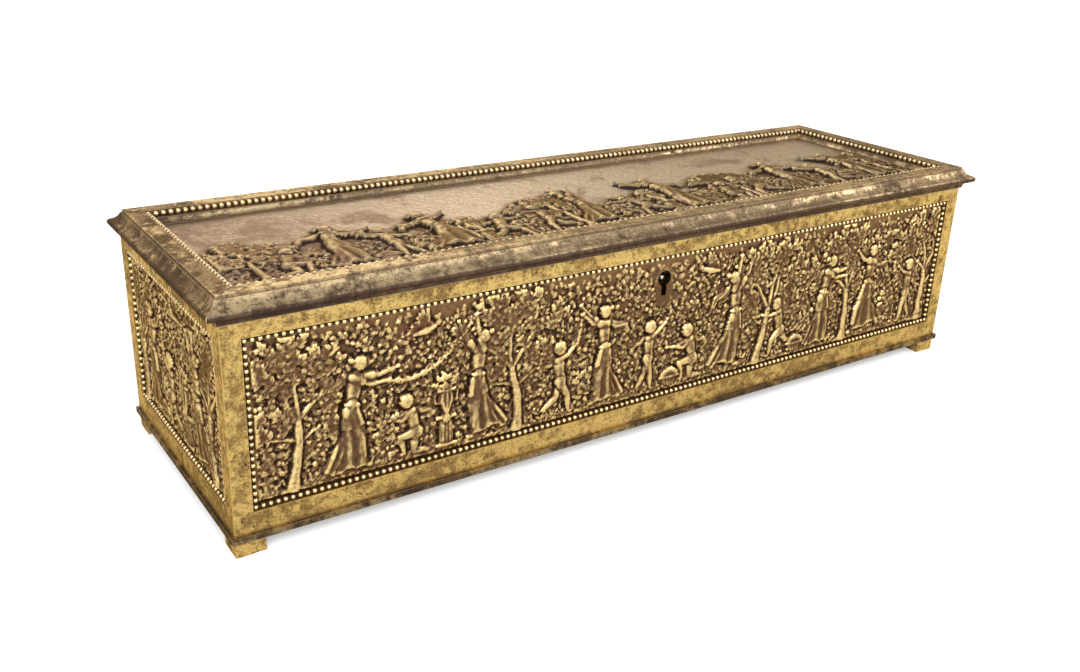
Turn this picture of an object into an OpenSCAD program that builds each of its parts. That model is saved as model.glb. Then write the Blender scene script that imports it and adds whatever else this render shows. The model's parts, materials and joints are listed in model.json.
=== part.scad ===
/* [Body] */
// Length of the body over its two end walls
body_l = 310; // [240:1:380]
// Depth of the body over its front and back walls
body_d = 97; // [84:1:140]
// Height of the four walls
wall_h = 65; // [56:1:100]
// Thickness of the wall frames
frame_t = 4; // [3.6:0.1:5]
// Width of the upright members of each frame
stile_w = 6; // [5.6:0.1:12]
// Height of the bottom member of each frame
bottom_rail_h = 6.7; // [4:0.1:12]
// Height of the top member of each frame
top_rail_h = 4.8; // [4:0.1:8]

/* [Relief plates] */
// Thickness of the cast plates in the walls
panel_t = 2.4; // [1.6:0.1:2.8]
// Width of the plate hidden behind the frame on each side
panel_lip = 1.2; // [0.8:0.1:1.4]
// Play between a plate and its rebate on each side
panel_play = 0.1; // [0.05:0.05:0.3]

/* [Pearls] */
// Radius of the pearls on the walls
pearl_r = 0.78; // [0.6:0.02:0.8]
// Spacing of the pearls on the walls
pearl_pitch = 2.25; // [2:0.05:3]
// Distance from the window's edge to the middle of the pearls
pearl_inset = 1; // [0.95:0.05:1.5]
// Radius of the pearls in the lid
lid_pearl_r = 0.95; // [0.7:0.05:1]
// Spacing of the pearls in the lid
lid_pearl_pitch = 2.4; // [2.2:0.05:3.2]
// Radius of the wire between the pearls, as a share of their radius
wire_share = 0.5; // [0.3:0.05:0.7]

/* [Base and feet] */
// Thickness of the base plate
base_t = 2; // [1.6:0.1:3]
// How far the base plate stands out from the walls
base_out = 1; // [0.4:0.1:2]
// Height of the bracket feet
foot_h = 5; // [4:0.1:8]
// Width of a bracket foot at its top
foot_w = 9.2; // [8:0.1:16]
// Radius of the rounded inner side of a foot
foot_round = 4.8; // [2:0.1:5]
// Radius of the shanks of the screws in the base
base_screw_r = 0.8; // [0.6:0.05:1]
// Length of the screws in the base
base_screw_l = 6; // [4:0.5:8]

/* [Lid] */
// Height of the lid
lid_h = 8.4; // [8.2:0.1:10]
// Distance from the body's back face to the lid's back arris
lid_back_set = 6.2; // [5:0.1:9]
// How far the nose of the lid moulding stands out from its arris
lid_nose = 4.2; // [3.8:0.1:4.6]
// Gap between the walls and the closed lid
seam = 0.2; // [0.1:0.05:0.4]
// Width of the flat rim round the top of the lid
rim_w = 5.4; // [4:0.1:7]
// Width of the step that carries the pearls of the lid
step_w = 2.2; // [2.2:0.1:3]
// Depth of the step below the rim
step_d = 2; // [1.8:0.1:2.4]
// Radius of the cove between the step and the relief
cove_r = 1.9; // [1.2:0.1:2.2]
// Thickness of the relief plate of the lid
lid_panel_t = 1.6; // [1.2:0.1:1.8]
// Thickness of the board under the relief plate
lid_board_t = 1.3; // [0.8:0.1:1.5]

/* [Hinge] */
// Outer radius of the hinge barrel
hinge_r = 2.9; // [2.4:0.1:3.2]
// Gap between the back wall and the barrel
hinge_gap = 0.2; // [0.1:0.05:0.5]
// Radius of the hinge pin
pin_r = 1.1; // [0.8:0.05:1.4]
// Radial clearance of the pin in the knuckles
pin_fit = 0.05; // [0.02:0.01:0.1]
// Number of knuckles
knuckle_count = 7; // [3:2:11]
// Gap between neighbouring knuckles
knuckle_gap = 0.3; // [0.2:0.05:0.6]
// Thickness of the hinge leaves
leaf_t = 1; // [0.8:0.1:1.4]
// Distance from the end walls to the ends of the hinge
hinge_inset = 5; // [4.8:0.5:12]
// Number of screws in each leaf
leaf_screw_count = 8; // [4:1:10]

/* [Lock] */
// Width of the lock
lock_w = 34; // [30:1:44]
// Height of the lock
lock_h = 22; // [21:0.5:26]
// Depth of the lock
lock_d = 7.5; // [7:0.1:9]
// Thickness of the lock's walls
lock_t = 1; // [0.8:0.1:1.2]
// Distance from the top of the walls to the centre of the round part of the keyhole
key_drop = 13.5; // [12.5:0.1:14]
// Radius of the round part of the keyhole
key_r = 2.8; // [2.2:0.1:3]
// Width of the slot of the keyhole
key_slot_w = 2.2; // [1.6:0.1:2.4]
// Distance from the centre of the round part to the foot of the slot
key_slot_l = 6.1; // [5:0.1:7]
// Radius of the drill pin
drill_pin_r = 1; // [0.8:0.05:1.2]
// Travel of the bolt
bolt_throw = 4; // [3:0.1:4.5]
// Thickness of the bolt
bolt_t = 1.6; // [1.2:0.1:2]
// Play of the bolt on its guide pins
bolt_play = 0.1; // [0.05:0.01:0.2]

/* [Lining] */
// Thickness of the velvet covered boards
lining_t = 1.8; // [1.2:0.1:2.5]
// Distance from the top of the walls to the top of the lining
lining_drop = 1.5; // [1:0.1:4]
// Thickness of the brass angles in the corners
angle_t = 1.5; // [1:0.1:2]
// Width of each leg of the corner angles
angle_w = 8; // [5:0.5:12]
// Clearance between the lining and what it meets
lining_play = 0.3; // [0.2:0.05:0.5]
// Thickness of the floor pad at its edge
floor_edge = 1.6; // [1:0.1:3]
// Height of the floor pad's crown above its edge
floor_crown = 2.6; // [1:0.1:5]
// Thickness of the lid pad at its edge
lid_pad_edge = 1; // [0.6:0.1:2]
// Height of the lid pad's crown above its edge
lid_pad_crown = 2.2; // [1:0.1:3]
// How far the long sides of a pad are drawn in
pad_draw = 0.9; // [0:0.1:2]

/* [Hidden] */
$fn = 48;

gilt = "darkgoldenrod";
bright = "goldenrod";
dark_gilt = "saddlebrown";
steel = "slategray";
velvet = "maroon";

// Overall depth from the lid's front nose to the back of the hinge barrel
overall_d = lid_nose + body_d + hinge_gap + 2 * hinge_r;
// Outer faces of the walls
front_y = -overall_d / 2 + lid_nose;
back_y = front_y + body_d;
mid_y = (front_y + back_y) / 2;
end_x = body_l / 2;
// Levels above the ground
base_z = foot_h;
wall_z = base_z + base_t;
seam_z = wall_z + wall_h;
lid_z = seam_z + seam;
// Windows of the wall frames
long_win = body_l - 2 * stile_w;
short_win = body_d - 2 * stile_w;
win_h = wall_h - bottom_rail_h - top_rail_h;
ground_y = frame_t - panel_t;
// Places of the base screws, as shares of half the length and of the depth
base_screw_x = [-0.65, -0.22, 0.22, 0.65];
base_screw_y = [-0.24, 0.24];
foot_screw_l = base_t + 0.6 * foot_h;
// Lid
lid_d = body_d - lid_back_set;
lid_mid_y = front_y + lid_d / 2;
step_z = lid_h - step_d;
cove_z = step_z - cove_r;
cove_lip = 0.3;
ground_z = cove_z - cove_lip;
win_in = rim_w + step_w + cove_r;
panel_in = win_in - panel_lip;
slope_r = 4.2;
slope_w = 0.9;
quirk = 0.9;
quirk_w = 0.5;
nose_r = 1.25;
nose_z = 3.7;
under_r = 2.15;
under_z = 0.3;
under_in = lid_nose - nose_r - under_r;
// Hinge
axis_y = back_y + hinge_gap + hinge_r;
axis_z = seam_z - hinge_r;
hinge_l = body_l - 2 * hinge_inset;
knuckle_l = (hinge_l - (knuckle_count - 1) * knuckle_gap) / knuckle_count;
leaf_screw_r = 0.6;
leaf_screw_l = 3;
leaf_head_r = 1.1;
lid_leaf_in = 4.2;
screw_play = 0.02;
// Lock
lock_gap = 0.1;
drill_pin_in = 0.6;
lock_screw_r = 0.6;
lock_head_r = 1.1;
lock_screw_l = 2.6;
lock_screw_in = 2.3;
screw_tip_gap = 0.3;
lock_top = seam_z - lock_gap;
lock_y = front_y + frame_t;
key_z = seam_z - key_drop;
eye_t = 1.6;
eye_w = 3.8;
eye_drop = 7.2;
eye_bar = 1.4;
eye_window = 3.2;
eye_side = 0.8;
eye_x = lock_w / 4 - 0.5;
eye_y = lock_y + lock_d / 2;
eye_bottom = lid_z - eye_drop;
eye_play = 0.6;
prong_h = 1.8;
prong_z = eye_bottom + eye_bar + (eye_window - prong_h) / 2;
prong_l = bolt_throw + eye_play;
upright_w = 1.6;
bolt_gap = 0.5;
bolt_top = eye_bottom - bolt_gap;
bolt_h = 3.2;
bolt_l = lock_w - 2 * lock_t - bolt_throw - 2 * bolt_gap;
bolt_left = -lock_w / 2 + lock_t + bolt_gap;
stump_r = 0.7;
spring_w = 3;
spring_foot = 12;
spring_arm = 8;
spring_t = 0.4;
spring_gap = 0.2;
stump_x = lock_w / 4 - 1;
striker_t = 1.1;
striker_w = 32;
striker_in = 2.5;
striker_over = 0.4;
striker_out = lock_d + frame_t + striker_over;
striker_gap = 0.1;
striker_screw_x = 13.5;
striker_screw_l = 3.6;
// Lining
lining_out = frame_t + angle_t + lining_play;
lining_in = lining_out + lining_t;
lining_z = wall_z + lining_play;
lining_top = seam_z - lining_drop;
lining_h = lining_top - lining_z;
notch_gap = 0.5;
notch_w = lock_w + 2 * notch_gap;
notch_z = lock_top - lock_h - notch_gap;
pad_side = 0.4;
lid_pad_in = frame_t + lock_d + 2;

// Outer face of a wall lies on y = 0 and looks along -Y; the wall stands on z = 0
module on_front() { translate([0, front_y, wall_z]) children(); }
module on_back() { translate([0, back_y, wall_z]) rotate(180) children(); }
module on_left() { translate([-end_x, mid_y, wall_z]) rotate(-90) children(); }
module on_right() { translate([end_x, mid_y, wall_z]) rotate(90) children(); }

// A hole straight down from z = 0
module down_hole(r, depth) { translate([0, 0, -depth]) cylinder(r = r, h = depth + 1); }

// A flat-headed screw with the top of its head at z = 0, driven along -Z
module screw(r, head_r, length) {
    translate([0, 0, -length]) cylinder(r = r, h = length);
    translate([0, 0, -head_r + r]) cylinder(r1 = r, r2 = head_r, h = head_r - r);
}

// The countersunk hole that such a screw sits in
module screw_hole(r, head_r, length) {
    translate([0, 0, -length]) cylinder(r = r + screw_play, h = length + 0.01);
    translate([0, 0, -head_r + r - screw_play])
        cylinder(r1 = r, r2 = head_r + 0.1 + screw_play, h = head_r - r + 0.1 + screw_play);
}

// Mitred frame of one wall, with its window and the rebate for the relief plate
module wall_frame(len) {
    win = len - 2 * stile_w;
    difference() {
        linear_extrude(wall_h)
            polygon([[-len / 2, 0], [len / 2, 0],
                [len / 2 - frame_t, frame_t], [frame_t - len / 2, frame_t]]);
        translate([-win / 2, -1, bottom_rail_h]) cube([win, frame_t + 2, win_h]);
        translate([-win / 2 - panel_lip, ground_y, bottom_rail_h - panel_lip])
            cube([win + 2 * panel_lip, frame_t, win_h + 2 * panel_lip]);
    }
}

// Relief plate of one wall, lying in the frame's rebate
module wall_panel(win) {
    edge = panel_lip - panel_play;
    translate([-win / 2 - edge, ground_y, bottom_rail_h - edge])
        cube([win + 2 * edge, panel_t, win_h + 2 * edge]);
}

// Straight row of pearls on a wire, from the origin along +X
module pearl_row(len, r, pitch) {
    n = round(len / pitch);
    rotate([0, 90, 0]) rotate_extrude() intersection() {
        union() {
            for (i = [0:n]) translate([0, i * len / n]) circle(r, $fn = 24);
            square([r * wire_share, len]);
        }
        translate([0, -r]) square([2 * r, len + 2 * r]);
    }
}

// Closed ring of pearl wire that lies on the plane z = 0
module pearl_ring(l, d, r, pitch) {
    translate([0, 0, r]) for (side = [-1, 1]) {
        translate([-l / 2, side * d / 2, 0]) pearl_row(l, r, pitch);
        translate([side * l / 2, -d / 2, 0]) rotate(90) pearl_row(d, r, pitch);
    }
}

// Pearl row on the relief plate of one wall
module wall_pearls(win) {
    translate([0, ground_y, bottom_rail_h + win_h / 2]) rotate([90, 0, 0])
        pearl_ring(win - 2 * pearl_inset, win_h - 2 * pearl_inset, pearl_r, pearl_pitch);
}

// Outline of the keyhole, round part at the origin and slot below
module keyhole() {
    circle(key_r);
    translate([-key_slot_w / 2, -key_slot_l]) square([key_slot_w, key_slot_l]);
}

// Keyhole cutter through everything between two depths of the front wall
module keyhole_cut(y0, y1) {
    translate([0, y1, key_z]) rotate([90, 0, 0]) linear_extrude(y1 - y0) keyhole();
}

module front_frame() {
    color(gilt) difference() {
        on_front() wall_frame(body_l);
        base_screw_holes();
        lock_screw_holes();
    }
}

module back_frame() {
    color(gilt) difference() {
        on_back() wall_frame(body_l);
        base_screw_holes();
        translate([-hinge_l / 2 - lining_play, back_y - frame_t - 1, seam_z - leaf_t])
            cube([hinge_l + 2 * lining_play, frame_t + 2, leaf_t + 1]);
        body_leaf_screws(true);
    }
}

module left_frame() {
    color(gilt) difference() {
        on_left() wall_frame(body_d);
        base_screw_holes();
    }
}

module right_frame() {
    color(gilt) difference() {
        on_right() wall_frame(body_d);
        base_screw_holes();
    }
}

module front_panel() {
    color(dark_gilt) difference() {
        on_front() wall_panel(long_win);
        keyhole_cut(front_y, front_y + frame_t + 1);
        lock_screw_holes();
    }
}

module back_panel() { color(dark_gilt) on_back() wall_panel(long_win); }
module left_panel() { color(dark_gilt) on_left() wall_panel(short_win); }
module right_panel() { color(dark_gilt) on_right() wall_panel(short_win); }

module front_pearls() { color(bright) on_front() wall_pearls(long_win); }
module back_pearls() { color(bright) on_back() wall_pearls(long_win); }
module left_pearls() { color(bright) on_left() wall_pearls(short_win); }
module right_pearls() { color(bright) on_right() wall_pearls(short_win); }

// Places of the screws that hold the base plate to the walls
module at_base_screws() {
    inset = frame_t / 2;
    for (x = base_screw_x)
        for (y = [front_y + inset, back_y - inset])
            translate([x * end_x, y, base_z]) rotate([180, 0, 0]) children();
    for (side = [-1, 1])
        for (y = base_screw_y)
            translate([side * (end_x - inset), mid_y + y * body_d, base_z])
                rotate([180, 0, 0]) children();
}

module base_screw_holes() {
    at_base_screws() screw_hole(base_screw_r, 2 * base_screw_r, base_screw_l + screw_tip_gap);
}

module base_screws() {
    color(bright) at_base_screws() screw(base_screw_r, 2 * base_screw_r, base_screw_l);
}

// Places of the corner feet; the foot's outer corner is the wall's outer corner
module at_feet() {
    for (x = [-1, 1], y = [-1, 1]) at_foot(x, y) children();
}

module at_foot(x, y) {
    translate([x * end_x, y > 0 ? back_y : front_y, 0])
        mirror([x > 0 ? 1 : 0, 0, 0]) mirror([0, y > 0 ? 1 : 0, 0]) children();
}

module foot_screw_holes() {
    at_feet() translate([foot_w / 2, foot_w / 2, wall_z])
        screw_hole(base_screw_r, 2 * base_screw_r, foot_screw_l + screw_tip_gap);
}

module foot_screws() {
    color(steel) at_feet() translate([foot_w / 2, foot_w / 2, wall_z])
        screw(base_screw_r, 2 * base_screw_r, foot_screw_l);
}

module base_plate() {
    color(gilt) difference() {
        translate([-end_x - base_out, front_y - base_out, base_z])
            cube([body_l + 2 * base_out, body_d + 2 * base_out, base_t]);
        base_screw_holes();
        foot_screw_holes();
    }
}

// Side view of a foot: upright outer side, flat sole and rounded inner side
module foot_outline() {
    translate([0, foot_h - foot_round]) square([foot_w, foot_round]);
    square([foot_w - foot_round, foot_h]);
    translate([foot_w - foot_round, foot_round]) circle(foot_round);
}

module foot_block() {
    intersection() {
        translate([0, foot_w, 0]) rotate([90, 0, 0]) linear_extrude(foot_w) foot_side();
        rotate([90, 0, 90]) linear_extrude(foot_w) foot_side();
    }
}

module foot_side() {
    intersection() {
        foot_outline();
        square([foot_w, foot_h]);
    }
}

module foot(x, y) {
    color(gilt) difference() {
        at_foot(x, y) foot_block();
        foot_screw_holes();
    }
}

module front_left_foot() { foot(-1, -1); }
module front_right_foot() { foot(1, -1); }
module back_left_foot() { foot(-1, 1); }
module back_right_foot() { foot(1, 1); }

// Brass angle in one inner corner
module corner_angle() {
    linear_extrude(lining_top - wall_z - leaf_t) difference() {
        square([angle_w, angle_w]);
        translate([angle_t, angle_t]) square([angle_w, angle_w]);
    }
}

module corner_angles() {
    color(bright) for (x = [-1, 1], y = [-1, 1])
        at_foot(x, y) translate([frame_t, frame_t, wall_z]) corner_angle();
}

// Board with a rounded top edge, standing on z = 0 with its back on y = 0
module lining_board(len) {
    translate([-len / 2, 0, 0]) rotate([90, 0, 90]) linear_extrude(len) {
        square([lining_t, lining_h - lining_t / 2]);
        translate([lining_t / 2, lining_h - lining_t / 2]) circle(lining_t / 2);
    }
}

module front_lining() {
    color(velvet) difference() {
        translate([0, front_y + lining_out, lining_z]) lining_board(body_l - 2 * lining_out);
        translate([-notch_w / 2, front_y, notch_z]) cube([notch_w, lining_in + 1, lock_h + 2]);
    }
}

module back_lining() {
    color(velvet) translate([0, back_y - lining_out, lining_z]) rotate(180)
        lining_board(body_l - 2 * lining_out);
}

module end_lining(side) {
    color(velvet) translate([side * (end_x - lining_out), mid_y, lining_z]) rotate(side * 90)
        lining_board(body_d - 2 * lining_in - 2 * lining_play);
}

module left_lining() { end_lining(-1); }
module right_lining() { end_lining(1); }

// Upholstered pad on z = 0: a rounded outline with sides drawn in between its corners,
// and a crown that rises from its edge to the middle
pad_turns = 56;
pad_rings = 9;
function bow(t, draw) = draw * (1 - pow(t, 4));
function pad_point(l, d, draw, a, f) =
    let (c = cos(a), s = sin(a), n = 9,
        k = pow(pow(abs(c), n) + pow(abs(s), n), -1 / n),
        u = c * k, v = s * k)
    [u * (l / 2 - (1 - f) * d / 2 - bow(abs(v), draw)),
        v * (f * d / 2 - f * bow(abs(u), draw))];
function pad_level(i, edge, crown) =
    i < 2 ? edge * i / 2 : edge + crown * sin(90 * pow((i - 1) / (pad_rings - 1), 0.6));
function pad_share(i) = i == 0 ? 0.985 : i == 1 ? 1 : 1 - 0.97 * pow((i - 1) / (pad_rings - 1), 1.6);

module pad(l, d, edge, crown, draw) {
    n = pad_turns;
    rings = [for (i = [0:pad_rings]) for (j = [0:n - 1])
        let (q = pad_point(l, d, draw, 360 * j / n, pad_share(i)))
        [q[0], q[1], pad_level(i, edge, crown)]];
    sole_mid = len(rings);
    top_mid = sole_mid + 1;
    last = pad_rings * n;
    sides = [for (i = [0:pad_rings - 1]) for (j = [0:n - 1]) for (half = [0, 1])
        let (k = (j + 1) % n)
        half == 0 ? [i * n + j, (i + 1) * n + j, i * n + k]
            : [i * n + k, (i + 1) * n + j, (i + 1) * n + k]];
    caps = [for (j = [0:n - 1]) for (half = [0, 1])
        let (k = (j + 1) % n)
        half == 0 ? [j, k, sole_mid] : [last + k, last + j, top_mid]];
    polyhedron(concat(rings, [[0, 0, 0], [0, 0, edge + crown]]), concat(sides, caps));
}

module floor_pad() {
    color(velvet) translate([0, mid_y, wall_z])
        pad(body_l - 2 * lining_in - 2 * pad_side, body_d - 2 * lining_in - 2 * pad_side,
            floor_edge, floor_crown, pad_draw);
}

// Places of the screws of the lock: two in the top member, two in the relief plate
module at_lock_screws() {
    dx = lock_w / 2 - lock_screw_in;
    for (x = [-dx, dx], z = [lock_top - lock_screw_in, lock_top - lock_h + lock_screw_in])
        translate([x, lock_y + lock_t, z]) rotate([-90, 0, 0]) children();
}

module lock_screw_holes() {
    at_lock_screws() screw_hole(lock_screw_r, lock_head_r, lock_screw_l + screw_tip_gap);
}

module lock_screws() { color(steel) at_lock_screws() screw(lock_screw_r, lock_head_r, lock_screw_l); }

module lock_plate() {
    color(bright) difference() {
        translate([-lock_w / 2, lock_y, lock_top - lock_h]) cube([lock_w, lock_t, lock_h]);
        keyhole_cut(lock_y - 1, lock_y + lock_t + 1);
        lock_screw_holes();
    }
}

module lock_case() {
    inner_y = lock_y + lock_t;
    color(bright) {
        difference() {
            translate([-lock_w / 2, inner_y, lock_top - lock_h])
                cube([lock_w, lock_d - lock_t, lock_h]);
            translate([-lock_w / 2 + lock_t, inner_y - 1, lock_top - lock_h + lock_t])
                cube([lock_w - 2 * lock_t, lock_d - 2 * lock_t + 1, lock_h - 2 * lock_t]);
            for (x = [-eye_x, eye_x])
                translate([x - eye_t / 2 - eye_play, eye_y - eye_w / 2 - eye_play, lock_top - lock_t - 1])
                    cube([eye_t + 2 * eye_play, eye_w + 2 * eye_play, lock_t + 2]);
            translate([0, lock_y, key_z]) rotate([-90, 0, 0])
                cylinder(r = drill_pin_r + screw_play, h = lock_d + 1);
        }
        for (x = [-stump_x, stump_x])
            translate([x, inner_y, bolt_top - bolt_h / 2]) rotate([-90, 0, 0])
                cylinder(r = stump_r, h = lock_d - 1.5 * lock_t);
    }
}

module drill_pin() {
    tip_y = front_y + ground_y + drill_pin_in;
    color(steel) translate([0, tip_y + drill_pin_r, key_z]) {
        sphere(drill_pin_r);
        rotate([-90, 0, 0]) cylinder(r = drill_pin_r, h = lock_y + lock_d - tip_y - drill_pin_r);
    }
}

// Sliding bolt, drawn back: a bar on two guide pins with two hooked prongs
module lock_bolt() {
    slot_h = 2 * (stump_r + bolt_play);
    color(steel) translate([0, eye_y - bolt_t / 2, 0]) {
        difference() {
            translate([bolt_left, 0, bolt_top - bolt_h]) cube([bolt_l, bolt_t, bolt_h]);
            for (x = [-stump_x, stump_x])
                translate([x, -1, bolt_top - bolt_h / 2]) rotate([-90, 0, 0])
                    linear_extrude(bolt_t + 2) {
                        circle(stump_r + bolt_play);
                        translate([-bolt_throw, 0]) circle(stump_r + bolt_play);
                        translate([-bolt_throw, -slot_h / 2]) square([bolt_throw, slot_h]);
                    }
        }
        for (x = [-eye_x, eye_x]) {
            tip = x - eye_t / 2 - eye_play;
            translate([tip - prong_l - upright_w, 0, bolt_top - 1])
                cube([upright_w, bolt_t, prong_z + prong_h - bolt_top + 1]);
            translate([tip - prong_l - 0.1, 0, prong_z]) cube([prong_l + 0.1, bolt_t, prong_h]);
        }
    }
}

// Bent leaf spring standing on the floor of the lock under the bolt
module lock_spring() {
    floor_z = lock_top - lock_h + lock_t;
    rise = bolt_top - bolt_h - spring_gap - floor_z;
    back = lock_w / 2 - lock_t - spring_gap;
    color(steel) translate([back, eye_y + spring_w / 2, floor_z]) rotate([90, 0, 0])
        linear_extrude(spring_w) polygon([[-spring_foot, 0], [0, 0], [0, rise], [-spring_arm, rise],
            [-spring_arm, rise - spring_t], [-spring_t, rise - spring_t], [-spring_t, spring_t],
            [-spring_foot, spring_t]]);
}

// Left edge of knuckle i of the hinge
function knuckle_x(i) = -hinge_l / 2 + i * (knuckle_l + knuckle_gap);

// Knuckles of one leaf, every second one from the given number
module knuckles(first) {
    for (i = [first:2:knuckle_count - 1])
        translate([knuckle_x(i), axis_y, axis_z]) rotate([0, 90, 0])
            cylinder(r = hinge_r, h = knuckle_l);
}

module hinge_bore() {
    translate([-hinge_l / 2 - 1, axis_y, axis_z]) rotate([0, 90, 0])
        cylinder(r = pin_r + pin_fit, h = hinge_l + 2);
}

// Places along a leaf for its screws
module along_leaf(y, z) {
    step = hinge_l / leaf_screw_count;
    for (i = [0:leaf_screw_count - 1])
        translate([-hinge_l / 2 + (i + 0.5) * step, y, z]) children();
}

module body_leaf_screws(hole) {
    along_leaf(back_y - frame_t / 2, seam_z) {
        if (hole) screw_hole(leaf_screw_r, leaf_head_r, leaf_screw_l + screw_tip_gap);
        else screw(leaf_screw_r, leaf_head_r, leaf_screw_l);
    }
}

module lid_leaf_screws(hole) {
    along_leaf(back_y - lid_back_set - lid_leaf_in / 2, lid_z) rotate([180, 0, 0]) {
        if (hole) screw_hole(leaf_screw_r, leaf_head_r, leaf_screw_l + screw_tip_gap);
        else screw(leaf_screw_r, leaf_head_r, leaf_screw_l);
    }
}

module hinge_body_leaf() {
    color(bright) difference() {
        union() {
            translate([-hinge_l / 2, back_y - frame_t, seam_z - leaf_t]) cube([hinge_l, frame_t, leaf_t]);
            for (i = [0:2:knuckle_count - 1])
                translate([knuckle_x(i), back_y - 1, seam_z - leaf_t])
                    cube([knuckle_l, axis_y - back_y + 1, leaf_t]);
            knuckles(0);
        }
        hinge_bore();
        body_leaf_screws(true);
    }
}

module hinge_lid_leaf() {
    leaf_y = back_y - lid_back_set - lid_leaf_in;
    color(bright) difference() {
        union() {
            translate([-hinge_l / 2, leaf_y, lid_z]) cube([hinge_l, back_y - leaf_y, leaf_t]);
            for (i = [1:2:knuckle_count - 1]) {
                translate([knuckle_x(i), back_y - 1, lid_z])
                    cube([knuckle_l, axis_y - back_y + 1, leaf_t]);
                translate([knuckle_x(i), axis_y - hinge_r / 2, axis_z])
                    cube([knuckle_l, hinge_r / 2, lid_z + leaf_t - axis_z]);
            }
            knuckles(1);
        }
        hinge_bore();
        lid_leaf_screws(true);
    }
}

module hinge_pin() {
    color(steel) translate([-hinge_l / 2, axis_y, axis_z]) rotate([0, 90, 0])
        cylinder(r = pin_r, h = hinge_l);
}

module hinge_body_screws() { color(steel) body_leaf_screws(false); }
module hinge_lid_screws() { color(steel) lid_leaf_screws(false); }

// Centre of an arc of radius r through p and q, on the left of the way from p to q
function arc_centre(p, q, r) =
    let (m = (p + q) / 2, w = q - p, h = norm(w), t = sqrt(r * r - h * h / 4))
    m + t * [-w[1], w[0]] / h;

// Section of the lid moulding: x runs outwards from the arris, y up from the lid's underside
module lid_section() {
    top_in = [quirk_w, lid_h - quirk];
    top_out = [lid_nose - slope_w, nose_z + nose_r - 0.05];
    difference() {
        union() {
            polygon([[-panel_in, 0], [under_in, 0], [under_in, under_z],
                [lid_nose - nose_r, nose_z - nose_r], [lid_nose - nose_r, nose_z],
                top_out, top_in, [0, lid_h - quirk], [0, lid_h],
                [-rim_w, lid_h], [-rim_w, step_z], [-rim_w - step_w, step_z],
                [-win_in, cove_z], [-win_in, ground_z], [-panel_in, ground_z]]);
            translate([lid_nose - nose_r, nose_z]) circle(nose_r);
        }
        translate(top_out + top_in - arc_centre(top_out, top_in, slope_r)) circle(slope_r);
        translate([-win_in, step_z]) circle(cove_r);
        translate([lid_nose - nose_r, under_z]) circle(under_r);
    }
}

// One mitred length of the lid moulding, arris on y = 0 with the outside towards -Y
module lid_rail(len) {
    reach = len / 2 + lid_nose;
    intersection() {
        translate([-reach, 0, 0]) rotate([90, 0, 90]) linear_extrude(2 * reach)
            mirror([1, 0]) lid_section();
        translate([0, 0, -1]) linear_extrude(lid_h + 2)
            polygon([[-reach, -lid_nose], [reach, -lid_nose],
                [len / 2 - win_in, win_in], [win_in - len / 2, win_in]]);
    }
}

module lid_front_rail() {
    color(gilt) difference() {
        translate([0, front_y, lid_z]) lid_rail(body_l);
        striker_seat();
        at_striker_screws() screw_hole(lock_screw_r, lock_head_r, striker_screw_l + screw_tip_gap);
    }
}

module lid_back_rail() {
    color(gilt) difference() {
        translate([0, front_y + lid_d, lid_z]) rotate(180) lid_rail(body_l);
        translate([-hinge_l / 2 - lining_play, back_y - lid_back_set - lid_leaf_in, lid_z - 1])
            cube([hinge_l + 2 * lining_play, lid_back_set + lid_leaf_in, leaf_t + 1]);
        lid_leaf_screws(true);
    }
}

module lid_left_rail() {
    color(gilt) translate([-end_x, lid_mid_y, lid_z]) rotate(-90) lid_rail(lid_d);
}

module lid_right_rail() {
    color(gilt) translate([end_x, lid_mid_y, lid_z]) rotate(90) lid_rail(lid_d);
}

// Rectangle that lies inside the lid, inset from its arris
module lid_slab(inset, z, t) {
    translate([-end_x + inset, front_y + inset, lid_z + z])
        cube([body_l - 2 * inset, lid_d - 2 * inset, t]);
}

module lid_panel() {
    color(dark_gilt) lid_slab(panel_in + panel_play, ground_z - lid_panel_t, lid_panel_t);
}

module lid_board() {
    color(velvet) lid_slab(panel_in + panel_play, ground_z - lid_panel_t - lid_board_t, lid_board_t);
}

module lid_pearls() {
    inset = rim_w + step_w / 2;
    color(bright) translate([0, lid_mid_y, lid_z + step_z])
        pearl_ring(body_l - 2 * inset, lid_d - 2 * inset, lid_pearl_r, lid_pearl_pitch);
}

module lid_pad() {
    pad_top = lid_z + ground_z - lid_panel_t - lid_board_t;
    d = lid_d - 2 * lid_pad_in;
    color(velvet) translate([0, lid_mid_y, pad_top]) rotate([180, 0, 0])
        pad(body_l - 2 * lid_pad_in, d, lid_pad_edge, lid_pad_crown, pad_draw);
}

module striker_seat() {
    translate([-striker_w / 2 - striker_gap, front_y + striker_in - striker_gap, lid_z - 1])
        cube([striker_w + 2 * striker_gap, striker_out - striker_in, striker_t + 1]);
}

module at_striker_screws() {
    for (x = [-striker_screw_x, striker_screw_x])
        translate([x, front_y + frame_t + 1, lid_z]) rotate([180, 0, 0]) children();
}

// Plate under the lid's front with two eyes that drop into the lock
module lock_striker() {
    color(bright) difference() {
        union() {
            translate([-striker_w / 2, front_y + striker_in, lid_z])
                cube([striker_w, striker_out - striker_in, striker_t]);
            for (x = [-eye_x, eye_x])
                translate([x - eye_t / 2, eye_y - eye_w / 2, eye_bottom])
                    cube([eye_t, eye_w, eye_drop + striker_t / 2]);
        }
        for (x = [-eye_x, eye_x])
            translate([x - eye_t, eye_y - eye_w / 2 + eye_side, eye_bottom + eye_bar])
                cube([2 * eye_t, eye_w - 2 * eye_side, eye_window]);
        at_striker_screws() screw_hole(lock_screw_r, lock_head_r, striker_screw_l + screw_tip_gap);
    }
}

module striker_screws() {
    color(steel) at_striker_screws() screw(lock_screw_r, lock_head_r, striker_screw_l);
}

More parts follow.
